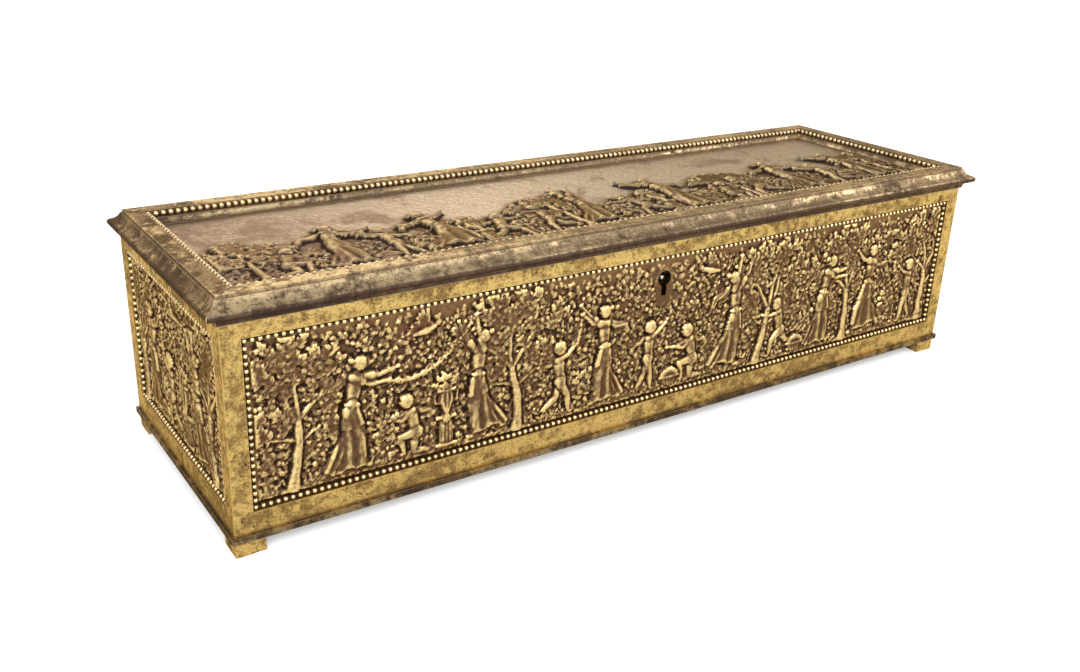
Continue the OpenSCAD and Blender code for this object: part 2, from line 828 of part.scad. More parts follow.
front_frame();
back_frame();
left_frame();
right_frame();
front_panel();
back_panel();
left_panel();
right_panel();
front_pearls();
back_pearls();
left_pearls();
right_pearls();
base_plate();
front_left_foot();
front_right_foot();
back_left_foot();
back_right_foot();
base_screws();
foot_screws();
corner_angles();
floor_pad();
front_lining();
back_lining();
left_lining();
right_lining();
lock_case();
lock_plate();
lock_bolt();
lock_spring();
drill_pin();
lock_screws();
hinge_body_leaf();
hinge_pin();
hinge_body_screws();
lid_front_rail();
lid_back_rail();
lid_left_rail();
lid_right_rail();
lid_panel();
lid_pearls();
lid_board();
lid_pad();
hinge_lid_leaf();
hinge_lid_screws();
lock_striker();
striker_screws();
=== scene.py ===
"""Looks of an antique gilt bronze glove box: figure reliefs in pearl borders, a moulded lid, velvet inside.

The box stands in a pale studio. All lengths in the relief code are millimetres, all others metres.
"""
import json
import logging
import math
from collections.abc import Callable, Sequence
from dataclasses import dataclass, field
from enum import Enum

import bpy
import numpy as np
from mathutils import Matrix, Vector

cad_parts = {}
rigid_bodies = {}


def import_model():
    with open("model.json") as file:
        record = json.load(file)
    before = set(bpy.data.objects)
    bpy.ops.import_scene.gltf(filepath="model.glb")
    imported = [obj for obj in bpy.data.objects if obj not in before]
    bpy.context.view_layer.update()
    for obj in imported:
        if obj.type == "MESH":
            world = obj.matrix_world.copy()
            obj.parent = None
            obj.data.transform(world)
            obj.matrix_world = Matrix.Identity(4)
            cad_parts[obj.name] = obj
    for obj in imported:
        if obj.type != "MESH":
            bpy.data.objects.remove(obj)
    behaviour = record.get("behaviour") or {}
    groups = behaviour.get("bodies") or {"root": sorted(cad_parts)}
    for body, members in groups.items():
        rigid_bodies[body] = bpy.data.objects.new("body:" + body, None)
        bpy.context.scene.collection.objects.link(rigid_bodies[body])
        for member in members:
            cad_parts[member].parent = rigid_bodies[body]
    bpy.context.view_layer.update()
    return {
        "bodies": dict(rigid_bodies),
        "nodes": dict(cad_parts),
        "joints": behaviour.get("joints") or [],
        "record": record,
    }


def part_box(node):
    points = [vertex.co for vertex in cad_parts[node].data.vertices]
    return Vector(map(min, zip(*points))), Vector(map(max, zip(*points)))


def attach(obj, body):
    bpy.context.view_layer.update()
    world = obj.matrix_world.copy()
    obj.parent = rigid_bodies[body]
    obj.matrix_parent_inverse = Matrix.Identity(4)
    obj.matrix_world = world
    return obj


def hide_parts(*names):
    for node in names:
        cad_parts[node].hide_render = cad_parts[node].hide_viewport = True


LOG = logging.getLogger("glove_box")
MM = 0.001
Point = tuple[float, float]
Triple = tuple[float, float, float]


@dataclass
class ReliefField:
    """Height map of a cast plate: u runs right and v up from its middle, all in millimetres.

    Attributes:
        width: Size along u.
        height: Size along v.
        step: Distance between neighbouring points.
        depth: Height at which the relief levels off.
    """

    width: float
    height: float
    step: float
    depth: float
    z: np.ndarray = field(init=False, repr=False)

    def __post_init__(self) -> None:
        """Lays out the grid and starts from a bare ground."""
        self.u = np.linspace(-self.width / 2, self.width / 2, round(self.width / self.step) + 1)
        self.v = np.linspace(-self.height / 2, self.height / 2, round(self.height / self.step) + 1)
        self.z = np.zeros((len(self.v), len(self.u)))

    def window(self, u0: float, u1: float, v0: float, v1: float) -> tuple[tuple[slice, slice], np.ndarray, np.ndarray]:
        """Cuts out the part of the grid that a shape can touch.

        Args:
            u0: Left edge.
            u1: Right edge.
            v0: Lower edge.
            v1: Upper edge.

        Returns:
            The slices into z, and the u and v of every point in them.
        """
        cols = slice(*np.searchsorted(self.u, (u0, u1)))
        rows = slice(*np.searchsorted(self.v, (v0, v1)))
        return (rows, cols), self.u[None, cols], self.v[rows, None]

    def merge(self, part: tuple[slice, slice], share: np.ndarray, height: np.ndarray, moat: float) -> None:
        """Joins a shape to the field by the larger height, after cutting a groove round it.

        The groove is moat times exp(-((share - 1.15) / 0.16)^2), where share is 1 on the outline.

        Args:
            part: Slices of the window.
            share: Distance from the shape's spine as a share of its radius.
            height: Height of the shape where share is below 1.
            moat: Depth of the groove.
        """
        z = self.z[part]
        if moat > 0:
            z -= np.where(share > 1, moat * np.exp(-((share - 1.15) / 0.16) ** 2), 0)
        np.maximum(z, np.where(share < 1, height, -9), out=z)

    def limb(self, path: Sequence[Point], radii: Sequence[float], lift: float = 0.3, flat: float = 0.75, moat: float = 0.0) -> None:
        """Adds a round rod along a path: lift + flat r sqrt(1 - (d / r)^2), r changing evenly along each stretch.

        Args:
            path: Points of the spine.
            radii: Radius at each point.
            lift: Height of the rod's edge.
            flat: Height of the rod's middle over its edge, as a share of the radius.
            moat: Depth of the groove round it.
        """
        pts = np.asarray(path, float)
        rad = np.asarray(radii, float)
        pad = 1.7 * rad.max()
        part, u, v = self.window(pts[:, 0].min() - pad, pts[:, 0].max() + pad, pts[:, 1].min() - pad, pts[:, 1].max() + pad)
        if u.size == 0 or v.size == 0:
            return
        share = np.full((v.size, u.size), 9.0)
        height = np.full_like(share, -9.0)
        for a, b, ra, rb in zip(pts[:-1], pts[1:], rad[:-1], rad[1:]):
            run = b - a
            t = np.clip(((u - a[0]) * run[0] + (v - a[1]) * run[1]) / max(run @ run, 1e-9), 0, 1)
            r = ra + (rb - ra) * t
            q = np.hypot(u - a[0] - t * run[0], v - a[1] - t * run[1]) / r
            share = np.minimum(share, q)
            height = np.maximum(height, lift + flat * r * np.sqrt(np.clip(1 - q * q, 0, None)))
        self.merge(part, share, height, moat)

    def blob(self, at: Point, size: Point, angle: float = 0.0, lift: float = 0.3, rise: float = 0.6, moat: float = 0.0) -> None:
        """Adds half an ellipsoid: lift + rise sqrt(1 - x^2 - y^2), x and y in units of its turned half axes.

        Args:
            at: Middle of the blob.
            size: Its two half axes.
            angle: Turn of the first axis from u, in degrees.
            lift: Height of its edge.
            rise: Height of its middle over its edge.
            moat: Depth of the groove round it.
        """
        pad = 1.6 * max(size)
        part, u, v = self.window(at[0] - pad, at[0] + pad, at[1] - pad, at[1] + pad)
        if u.size == 0 or v.size == 0:
            return
        c, s = math.cos(math.radians(angle)), math.sin(math.radians(angle))
        du, dv = u - at[0], v - at[1]
        q = np.hypot((c * du + s * dv) / size[0], (c * dv - s * du) / size[1])
        self.merge(part, q, lift + rise * np.sqrt(np.clip(1 - q * q, 0, None)), moat)

    def leaf(self, at: Point, length: float, angle: float, width: float = 0.45, lift: float = 0.2, rise: float = 0.35) -> None:
        """Adds a pointed leaf with a sunk midrib: its half width is width length sin(pi t)^0.8 at the share t of its length.

        Args:
            at: Foot of the leaf.
            length: Length from foot to tip.
            angle: Direction of the tip from u, in degrees.
            width: Half width at the middle, as a share of the length.
            lift: Height of its edge.
            rise: Height of its middle over its edge.
        """
        pad = 1.1 * length
        part, u, v = self.window(at[0] - pad, at[0] + pad, at[1] - pad, at[1] + pad)
        if u.size == 0 or v.size == 0:
            return
        c, s = math.cos(math.radians(angle)), math.sin(math.radians(angle))
        t = (c * (u - at[0]) + s * (v - at[1])) / length
        side = (c * (v - at[1]) - s * (u - at[0])) / length
        half = width * np.sin(np.pi * np.clip(t, 0, 1)) ** 0.8 + 1e-6
        q = np.where((t > 0) & (t < 1), np.abs(side) / half, 9)
        self.merge(part, q, lift + rise * (np.sqrt(np.clip(1 - q * q, 0, None)) - 0.45 * np.exp(-(q / 0.22) ** 2)), 0)

    def rosette(self, at: Point, radius: float, petals: int = 5, turn: float = 0.0, lift: float = 0.5, rise: float = 0.5) -> None:
        """Adds a flower whose outline and height wave with cos(petals times the polar angle), round a raised heart.

        Args:
            at: Middle of the flower.
            radius: Length of the petals.
            petals: Number of petals.
            turn: Turn of the flower in radians.
            lift: Height of the petals' tips.
            rise: Height of the heart over the tips.
        """
        pad = 1.5 * radius
        part, u, v = self.window(at[0] - pad, at[0] + pad, at[1] - pad, at[1] + pad)
        if u.size == 0 or v.size == 0:
            return
        wave = np.cos(petals * (np.arctan2(v - at[1], u - at[0]) + turn))
        q = np.hypot(u - at[0], v - at[1]) / (radius * (0.86 + 0.14 * wave))
        dome = np.sqrt(np.clip(1 - q * q, 0, None)) * (0.85 + 0.15 * wave) - 0.3 * np.exp(-((q - 0.42) / 0.12) ** 2)
        self.merge(part, q, lift + rise * dome, 0.12)

    def drape(self, spine: Sequence[Point], widths: Sequence[float], folds: float = 3.0, sway: float = 1.0,
              lift: float = 0.35, rise: float = 0.75, moat: float = 0.25) -> None:
        """Adds hanging cloth: across its width s from -1 to 1 the height is a half ellipse, furrowed by cos(pi folds s + sway t).

        Below its last point the cloth ends in a hem that waves with the folds.

        Args:
            spine: Points along the middle of the cloth, from its top down.
            widths: Half width at each point.
            folds: Number of folds across half the width.
            sway: How far the folds slant on the way down.
            lift: Height of the cloth's edge.
            rise: Height of its middle over its edge.
            moat: Depth of the groove round it.
        """
        pts = np.asarray(spine, float)
        wid = np.asarray(widths, float)
        pad = 1.4 * wid.max()
        part, u, v = self.window(pts[:, 0].min() - pad, pts[:, 0].max() + pad, pts[:, 1].min() - pad, pts[:, 1].max() + pad)
        if u.size == 0 or v.size == 0:
            return
        best = np.full((v.size, u.size), 9.0)
        along = np.zeros_like(best)
        across = np.zeros_like(best)
        steps = len(pts) - 1
        for k, (a, b, wa, wb) in enumerate(zip(pts[:-1], pts[1:], wid[:-1], wid[1:])):
            run = b - a
            size = max(float(np.hypot(*run)), 1e-6)
            free = ((u - a[0]) * run[0] + (v - a[1]) * run[1]) / size ** 2
            t = np.clip(free, 0, 1)
            w = wa + (wb - wa) * t
            side = ((u - a[0]) * run[1] - (v - a[1]) * run[0]) / size
            q = np.hypot(u - a[0] - t * run[0], v - a[1] - t * run[1]) / w
            if k == steps - 1:
                over = (free - 1) * size / w
                q = np.where(over > 0, np.abs(side) / w + np.clip(over - 0.08 * np.cos(np.pi * folds * side / w + sway), 0, None) * 12, q)
            nearer = q < best
            best = np.where(nearer, q, best)
            along = np.where(nearer, k + t, along)
            across = np.where(nearer, side / w, across)
        crease = 0.5 - 0.5 * np.cos(np.pi * folds * across + sway * along)
        bulge = np.sqrt(np.clip(1 - best * best, 0, None))
        deep = 0.2 + 0.3 * along / steps
        self.merge(part, best, lift + rise * bulge * (1 - deep * crease), moat)

    def finish(self, rng: np.random.Generator, grain: float = 0.05) -> None:
        """Levels the relief off at its depth by depth tanh(z / depth) and adds the casting's grain, faded out at the edges.

        Args:
            rng: Source of the grain.
            grain: Height of the grain.
        """
        noise = rng.normal(size=self.z.shape)
        for _ in range(2):
            noise = (noise + np.roll(noise, 1, 0) + np.roll(noise, 1, 1) + np.roll(noise, (1, 1), (0, 1))) / 4
        self.z += grain * noise / max(noise.std(), 1e-9) * 0.5
        self.z = self.depth * np.tanh(np.clip(self.z, -0.3, None) / self.depth)

    def hollow(self, reach: float) -> np.ndarray:
        """How deep each point lies below its surroundings: the mean height within the reach minus its own.

        Args:
            reach: Half side of the square that the mean is taken over, in millimetres.

        Returns:
            The depth of every point, negative on ridges.
        """
        n = max(1, round(reach / self.step))
        mean = self.z
        for axis in (0, 1):
            for _ in range(2):
                pad = [(n + 1, n) if k == axis else (0, 0) for k in (0, 1)]
                total = np.cumsum(np.pad(mean, pad, mode="edge"), axis=axis)
                size = mean.shape[axis]
                mean = (np.take(total, range(2 * n + 1, 2 * n + 1 + size), axis) - np.take(total, range(size), axis)) / (2 * n + 1)
        return mean - self.z


class Dress(Enum):
    """What a figure wears."""

    BARE = "a scarf"
    GOWN = "a gown to the ground"


@dataclass(frozen=True)
class Pose:
    """Angles of a figure in degrees, positive towards the side that it faces.

    Attributes:
        lean: Trunk from upright.
        nod: Head from the trunk's line.
        near: Near arm: upper arm from hanging, bend of the elbow.
        far: Far arm, as the near one.
        step: Near leg: thigh from hanging, bend of the knee.
        trail: Far leg, as the near one.
    """

    lean: float
    nod: float
    near: Point
    far: Point
    step: Point
    trail: Point


class Posture(Enum):
    """The poses that figures take."""

    OFFERING = Pose(10, 14, (60, 28), (85, 18), (20, 12), (-16, 4))
    DANCING = Pose(-8, 18, (105, 30), (-70, -25), (32, 26), (-22, 32))
    REACHING = Pose(-4, -20, (165, 6), (140, 20), (8, 4), (-18, 22))
    KNEELING = Pose(16, 6, (55, 50), (75, 20), (80, 95), (4, 88))
    RUNNING = Pose(18, 2, (80, 20), (-50, 20), (48, 40), (-40, 30))
    SITTING = Pose(-14, 10, (40, 45), (60, 20), (78, 60), (62, 40))
    HOLDING = Pose(0, 4, (110, 20), (125, 10), (16, 10), (-18, 12))
    PICKING = Pose(4, -6, (100, 34), (130, 10), (18, 8), (-16, 10))


@dataclass(frozen=True)
class Figure:
    """A small human figure in relief, with a plain face that is only a nose and a chin.

    Attributes:
        foot: Where its lower foot stands, under the middle of its hips.
        tall: Height when it stands upright, in millimetres.
        pose: Its pose.
        facing: 1 to look right, -1 to look left.
        dress: What it wears.
        child: True for a child's proportions.
        lift: Height of its outline over the ground.
    """

    foot: Point
    tall: float
    pose: Pose
    facing: int = 1
    dress: Dress = Dress.GOWN
    child: bool = False
    lift: float = 0.45

    def way(self, angle: float, length: float) -> np.ndarray:
        """A step of a length in the direction angle, taken from straight down towards the side faced."""
        a = math.radians(angle)
        return np.array([self.facing * math.sin(a), -math.cos(a)]) * length

    def joints(self) -> dict[str, np.ndarray]:
        """Places of the joints, each limb's step added to the joint before it, then the lower foot set on the ground.

        Returns:
            Joint names and points.
        """
        s, p = self.tall, self.pose
        up, nod = -self.way(-p.lean, 1.0), -self.way(-(p.lean + p.nod), 1.0)
        across = np.array([up[1], -up[0]])
        hip = np.zeros(2)
        neck = hip + 0.3 * s * up
        joints = {"hip": hip, "neck": neck, "head": neck + (0.02 + (0.085 if self.child else 0.058)) * s * nod}
        for name, (swing, bend), side in (("near", p.near, -0.03), ("far", p.far, 0.035)):
            start = neck - 0.035 * s * up + across * side * s * self.facing
            elbow = start + self.way(swing, 0.16 * s)
            joints[name + "_shoulder"], joints[name + "_elbow"] = start, elbow
            joints[name + "_hand"] = elbow + self.way(swing + bend, 0.15 * s)
        thigh, shin = (0.22 * s, 0.2 * s) if self.child else (0.25 * s, 0.23 * s)
        for name, (swing, bend), side in (("step", p.step, -0.018), ("trail", p.trail, 0.018)):
            start = hip + across * side * s * self.facing
            knee = start + self.way(swing, thigh)
            joints[name + "_hip"], joints[name + "_knee"] = start, knee
            joints[name + "_ankle"] = knee + self.way(swing - bend, shin)
        low = min(joints["step_ankle"][1], joints["trail_ankle"][1]) - 0.02 * s
        shift = np.array([self.foot[0], self.foot[1] - low])
        return {name: point + shift for name, point in joints.items()}

    def carve(self, field_: ReliefField) -> dict[str, np.ndarray]:
        """Models the figure from back to front: far limbs, trunk, dress, near limbs and head.

        Args:
            field_: The height map to work on.

        Returns:
            The figure's joints, so that things can be put in its hands.
        """
        j, s, lift = self.joints(), self.tall, self.lift
        stout = s * (1.25 if self.child else 1.0)
        self.scarf(field_, j)
        self.leg(field_, j, "trail", lift - 0.15, stout)
        self.arm(field_, j, "far", lift - 0.1, stout)
        up = (j["neck"] - j["hip"]) / (0.3 * s)
        levels = [j["hip"] + up * share * s for share in (-0.01, 0.1, 0.2, 0.275)]
        field_.limb(levels, [0.064 * stout, 0.05 * stout, 0.061 * stout, 0.045 * s], lift, 0.6, 0.3)
        field_.limb([j["near_shoulder"], j["far_shoulder"]], [0.036 * stout] * 2, lift, 0.75)
        field_.limb([j["neck"] - 0.02 * s * up, j["head"]], [0.026 * s, 0.024 * s], lift + 0.1, 0.8, 0.1)
        if self.dress is Dress.GOWN:
            self.gown(field_, j)
        else:
            self.leg(field_, j, "step", lift + 0.05, stout)
        self.head(field_, j["head"])
        self.arm(field_, j, "near", lift + 0.3, stout)
        return j

    def head(self, field_: ReliefField, at: np.ndarray) -> None:
        """Models the head: an oval skull with a nose and a chin, under a cap of curls that runs from brow to nape."""
        r, lift = (0.085 if self.child else 0.058) * self.tall, self.lift
        field_.blob(at, (0.86 * r, 1.02 * r), 0, lift + 0.25, 0.8 * r, 0.3)
        field_.blob(at + self.way(84, 0.84 * r), (0.2 * r, 0.15 * r), 0, lift + 0.35, 0.35 * r)
        field_.blob(at + self.way(38, 0.82 * r), (0.2 * r, 0.18 * r), 0, lift + 0.25, 0.3 * r)
        for turn in np.linspace(128, 292, 7):
            field_.blob(at + self.way(turn, 0.74 * r), (0.34 * r, 0.31 * r), turn, lift + 0.45, 0.36 * r, 0.05)
        for turn in (200, 250):
            field_.blob(at + self.way(turn, 0.36 * r), (0.36 * r, 0.33 * r), turn, lift + 0.75, 0.45 * r, 0.05)
        if self.dress is Dress.GOWN:
            field_.blob(at + self.way(246, 1.28 * r), (0.42 * r, 0.38 * r), 0, lift + 0.35, 0.5 * r, 0.1)

    def arm(self, field_: ReliefField, j: dict[str, np.ndarray], side: str, lift: float, stout: float) -> None:
        """Models one arm as a tapered rod with a small hand, and a short sleeve on a gown."""
        path = [j[side + "_shoulder"], j[side + "_elbow"], j[side + "_hand"]]
        field_.limb(path, [0.029 * stout, 0.022 * stout, 0.014 * stout], lift, 0.8, 0.25)
        field_.blob(path[2], (0.022 * stout, 0.017 * stout), 30, lift + 0.1, 0.018 * stout)
        if self.dress is Dress.GOWN:
            field_.limb([path[0], path[0] * 0.45 + path[1] * 0.55], [0.034 * stout, 0.038 * stout], lift + 0.05, 0.8, 0.1)

    def leg(self, field_: ReliefField, j: dict[str, np.ndarray], side: str, lift: float, stout: float) -> None:
        """Models one leg, fullest at thigh and calf, with its foot turned to the side faced."""
        s, (knee, ankle) = self.tall, (j[side + "_knee"], j[side + "_ankle"])
        calf = knee * 0.68 + ankle * 0.32
        field_.limb([j[side + "_hip"], knee, calf, ankle], [0.052 * stout, 0.034 * stout, 0.035 * stout, 0.018 * stout],
                    lift, 0.75, 0.28)
        field_.blob(ankle + np.array([self.facing * 0.026 * s, -0.01 * s]), (0.04 * s, 0.017 * s), 0, lift, 0.02 * s)

    def gown(self, field_: ReliefField, j: dict[str, np.ndarray]) -> None:
        """Hangs a gown with a train and an overskirt from a belt, and lets the near leg press through it."""
        s = self.tall
        up = (j["neck"] - j["hip"]) / (0.3 * s)
        ahead = np.array([self.facing, 0.0])
        hem = (j["step_ankle"] + j["trail_ankle"]) / 2 + ahead * 0.02 * s + [0, 0.01 * s]
        stride = abs(j["step_ankle"][0] - j["trail_ankle"][0]) / 2
        waist, mid = j["hip"] + 0.06 * s * up, 0.55 * j["hip"] + 0.45 * hem + ahead * 0.02 * s
        for ankle in (j["step_ankle"], j["trail_ankle"]):
            field_.blob(ankle + ahead * 0.03 * s, (0.042 * s, 0.017 * s), 0, self.lift, 0.02 * s, 0.1)
        train = hem - ahead * (0.13 * s + 0.5 * stride) - [0, 0.006 * s]
        field_.drape([j["hip"] + 0.02 * s * up, mid - ahead * 0.06 * s, train], [0.04 * s, 0.055 * s, 0.06 * s],
                     2.0, 1.6 * self.facing, self.lift - 0.1, min(0.03 * s, 1.1), 0.2)
        field_.drape([waist, j["hip"], mid, hem],
                     [0.044 * s, 0.066 * s, 0.062 * s + 0.3 * stride, 0.052 * s + 0.6 * stride],
                     2.2, 1.4 * self.facing, self.lift + 0.1, min(0.042 * s, 1.6), 0.3)
        field_.limb([j["step_hip"], j["step_knee"], 0.4 * j["step_knee"] + 0.6 * j["step_ankle"]],
                    [0.048 * s, 0.036 * s, 0.026 * s], self.lift + 0.5, 0.72)
        peplum = 0.4 * j["hip"] + 0.6 * mid
        field_.drape([waist, j["hip"], peplum], [0.044 * s, 0.07 * s, 0.078 * s + 0.15 * stride],
                     1.8, -1.0 * self.facing, self.lift + 0.45, min(0.036 * s, 1.4), 0.18)
        across = np.array([up[1], -up[0]]) * 0.05 * s
        field_.limb([waist - across, waist + across], [0.012 * s, 0.012 * s], self.lift + 1.3, 0.9, 0.1)

    def scarf(self, field_: ReliefField, j: dict[str, np.ndarray]) -> None:
        """Lets a scarf blow out behind: a ribbon that falls from the shoulders in an S with long folds."""
        s = self.tall
        steps = ((-100, 0.09), (-55, 0.1), (-80, 0.09), (-30, 0.09))
        spine = [j["far_shoulder"]]
        for angle, length in steps:
            spine.append(spine[-1] + self.way(angle - 0.5 * self.pose.lean, length * s))
        field_.drape(spine, [0.018 * s, 0.03 * s, 0.036 * s, 0.034 * s, 0.026 * s], 2.0, 2.5, self.lift - 0.15, 0.7, 0.15)


@dataclass
class Gardener:
    """Sets plants, props and animals into a height map, all from one seeded source of chance.

    Attributes:
        plate: The height map to work on.
        rng: Source of chance.
    """

    plate: ReliefField
    rng: np.random.Generator

    def path(self, start: Point, angle: float, length: float, bend: float, pieces: int = 6) -> list[Point]:
        """Walks a path whose direction turns evenly, with a little chance.

        Args:
            start: First point.
            angle: First direction from u, in degrees.
            length: Length of the path.
            bend: Total turn in degrees.
            pieces: Number of stretches.

        Returns:
            The points of the path.
        """
        turns = math.radians(angle) + np.radians(bend) * np.arange(pieces) / pieces + self.rng.normal(0, 0.12, pieces)
        steps = np.stack([np.cos(turns), np.sin(turns)], 1) * length / pieces
        return [tuple(p) for p in np.vstack([[start], np.asarray(start) + np.cumsum(steps, 0)])]

    def leaves(self, middle: Point, size: Point, count: int, length: float = 2.2, lift: float = 0.35) -> None:
        """Fills an ellipse with leaves that point outwards, those near its middle laid on last and highest.

        Args:
            middle: Middle of the ellipse.
            size: Its half axes.
            count: Number of leaves.
            length: Mean length of a leaf.
            lift: Height of the lowest leaves.
        """
        out = np.sort(np.sqrt(self.rng.random(count)))[::-1]
        turn = self.rng.uniform(0, 2 * np.pi, count)
        for r, a, k, w in zip(out, turn, self.rng.uniform(0.7, 1.3, count), self.rng.normal(0, 35, count)):
            at = (middle[0] + size[0] * r * math.cos(a), middle[1] + size[1] * r * math.sin(a))
            self.plate.leaf(at, length * k, math.degrees(a) + w, 0.3, lift + 0.75 * (1 - r * r), 0.42)

    def branch(self, start: Point, angle: float, length: float, radius: float, levels: int, lift: float) -> None:
        """Grows a branch that forks into three shorter ones, down to twigs with leaves in pairs and a blossom.

        Args:
            start: Where it leaves its parent.
            angle: Its first direction from u, in degrees.
            length: Its length.
            radius: Its radius at the start.
            levels: How many times it forks.
            lift: Height of its outline.
        """
        stem = self.path(start, angle, length, self.rng.normal(0, 24), 5)
        self.plate.limb(stem, np.linspace(radius, 0.66 * radius, len(stem)), lift, 0.9, 0.14)
        if levels:
            odd = float(self.rng.choice((-48, 48)))
            for turn, at in ((-30, stem[-1]), (27, stem[-1]), (odd, stem[3])):
                self.branch(at, angle + turn + self.rng.normal(0, 8), 0.7 * length, 0.64 * radius, levels - 1, lift)
        if levels < 2:
            for at in stem[1:]:
                for side in (-1, 1):
                    turn = angle + side * self.rng.uniform(30, 80)
                    self.plate.leaf(at, self.rng.uniform(1.5, 2.5), turn, 0.36, lift + self.rng.uniform(0, 0.35), 0.45)
        if levels == 0:
            self.plate.rosette(stem[-1], self.rng.uniform(0.6, 1.1), 5, angle, lift + 0.4, 0.55)

    def tree(self, foot: Point, tall: float, lean: float, lift: float) -> None:
        """Plants a slender tree: a knotty trunk with roots, and branches that fork three times.

        Args:
            foot: Where it stands.
            tall: Its height.
            lean: Lean in degrees.
            lift: Height of its outline.
        """
        r = 0.034 * tall
        trunk = self.path(foot, 90 - lean, 0.42 * tall, self.rng.normal(0, 12), 6)
        self.plate.limb(trunk, np.array([1.35, 1.0, 0.9, 0.95, 0.8, 0.82, 0.75]) * r, lift, 0.85, 0.25)
        for side in (-0.35, 0.3):
            self.plate.limb([(u + side * r, v) for u, v in trunk], [0.2 * r] * 7, lift + 0.5 * r, 0.8, 0.12)
        for turn in (-150, -30):
            self.plate.limb([foot, (foot[0] + 2.4 * r * math.cos(math.radians(turn)), foot[1] - 0.8 * r)],
                            [0.8 * r, 0.3 * r], lift, 0.8, 0.1)
        for turn, share in ((-34, 1.0), (4, 1.05), (38, 1.0), (62, 0.7), (-60, 0.7)):
            at = trunk[-1] if share >= 1 else trunk[4]
            self.branch(at, 90 - lean + turn, 0.25 * share * tall, 0.55 * r * share, 2, lift)

    def bush(self, foot: Point, tall: float, wide: float, lift: float) -> None:
        """Plants a flowering bush: stems under a heap of leaves that widens upwards, with rosettes on top.

        Args:
            foot: Where it stands.
            tall: Height.
            wide: Half width.
            lift: Height of its outline.
        """
        for side in np.linspace(-0.7, 0.7, 5):
            stem = self.path(foot, 90 - side * 40, tall * 0.8, side * 20, 4)
            self.plate.limb(stem, np.linspace(0.4, 0.25, len(stem)), lift - 0.1, 0.8)
        self.leaves((foot[0], foot[1] + 0.34 * tall), (0.6 * wide, 0.3 * tall), 40, 2.0, lift - 0.15)
        self.leaves((foot[0], foot[1] + 0.66 * tall), (0.9 * wide, 0.34 * tall), 70, 2.1, lift - 0.1)
        for side, level in zip(np.linspace(-0.8, 0.8, 9), self.rng.uniform(0.35, 0.95, 9)):
            self.plate.rosette((foot[0] + side * wide * (0.5 + 0.5 * level), foot[1] + level * tall),
                               self.rng.uniform(0.95, 1.35), 5, self.rng.uniform(0, 6), lift + 0.6, 0.6)

    def spray(self, foot: Point, tall: float, angle: float, lift: float = 0.1) -> None:
        """Grows a stalk with leaves in turn on both sides and a bud on top.

        Args:
            foot: Where it grows.
            tall: Its length.
            angle: Its first direction from u, in degrees.
            lift: Height of its outline.
        """
        stem = self.path(foot, angle, tall, self.rng.normal(0, 25), 8)
        self.plate.limb(stem, np.linspace(0.3, 0.2, len(stem)), lift, 0.9)
        for k, at in enumerate(stem[1:]):
            turn = angle + (55 if k % 2 else -55) + self.rng.normal(0, 12)
            self.plate.leaf(at, self.rng.uniform(1.4, 2.3), turn, 0.3, lift + 0.05, 0.4)
        self.plate.rosette(stem[-1], self.rng.uniform(0.6, 1.0), 5, angle, lift + 0.2, 0.5)

    def grass(self, left: float, right: float, base: float, count: int, tall: float = 3.0) -> None:
        """Sows tufts of grass and small flowers between two places.

        Args:
            left: First place.
            right: Last place.
            base: Level of their feet.
            count: Number of blades.
            tall: Mean height of a blade.
        """
        for u, a, k in zip(self.rng.uniform(left, right, count), self.rng.normal(90, 30, count), self.rng.uniform(0.5, 1.3, count)):
            v = base + self.rng.uniform(-1.6, 1.2)
            self.plate.leaf((u, v), tall * k, a, 0.14, 0.35, 0.4)
        for u in self.rng.uniform(left, right, count // 7):
            self.plate.rosette((u, base + self.rng.uniform(-1.5, 0.6 * tall)), 0.7, 5, 0, 0.6, 0.45)

    def ground(self, level: float, waves: Point = (0.9, 0.05)) -> None:
        """Banks up the soil below a waving line, level + height sin(rate u), with clods on it.

        Args:
            level: Mean height of the line.
            waves: Height of the waves and their rate in radians per millimetre.
        """
        plate = self.plate
        line = level + waves[0] * np.sin(waves[1] * plate.u + 1.0) + 0.5 * np.sin(0.19 * plate.u)
        below = np.clip((line[None, :] - plate.v[:, None]) / 1.0, 0, 1)
        np.maximum(plate.z, 0.45 * below * (2 - below), out=plate.z)
        for u in np.arange(plate.u[0], plate.u[-1], 0.9):
            at = (u + self.rng.normal(0, 0.8), level - self.rng.uniform(-0.2, 3.2))
            plate.blob(at, (self.rng.uniform(0.5, 1.5), self.rng.uniform(0.35, 0.7)), self.rng.normal(0, 20), 0.35, 0.4, 0.12)

    def thicket(self, low: float, high: float, density: float) -> None:
        """Covers the background with leaves, berries, blossoms and stalks, a little thicker near the soil.

        Args:
            low: Lower edge.
            high: Upper edge.
            density: Leaves per square millimetre.
        """
        left, right = self.plate.u[0] + 3, self.plate.u[-1] - 3
        count = int(density * (right - left) * (high - low))
        us, vs = self.rng.uniform(left, right, count), low + (high - low) * self.rng.beta(1.0, 1.15, count)
        for u, v, a, k in zip(us, vs, self.rng.uniform(0, 180, count), self.rng.uniform(1.1, 2.6, count)):
            self.plate.leaf((u, v), k, a, 0.32, self.rng.uniform(0.0, 0.3), 0.4)
        for u in np.arange(left, right, 3.6):
            foot = (u + self.rng.normal(0, 1.0), low)
            self.spray(foot, (high - low) * self.rng.uniform(0.3, 0.95), 90 + self.rng.normal(0, 14))
        for u, v in zip(us[::5], vs[::5]):
            r = self.rng.uniform(0.4, 0.7)
            self.plate.blob((u, v), (r, r), 0, self.rng.uniform(0.25, 0.5), 0.45, 0.14)
        for u, v in zip(us[::9], vs[::9]):
            self.plate.rosette((u, v), self.rng.uniform(0.7, 1.15), 5, u, self.rng.uniform(0.3, 0.55), 0.5)

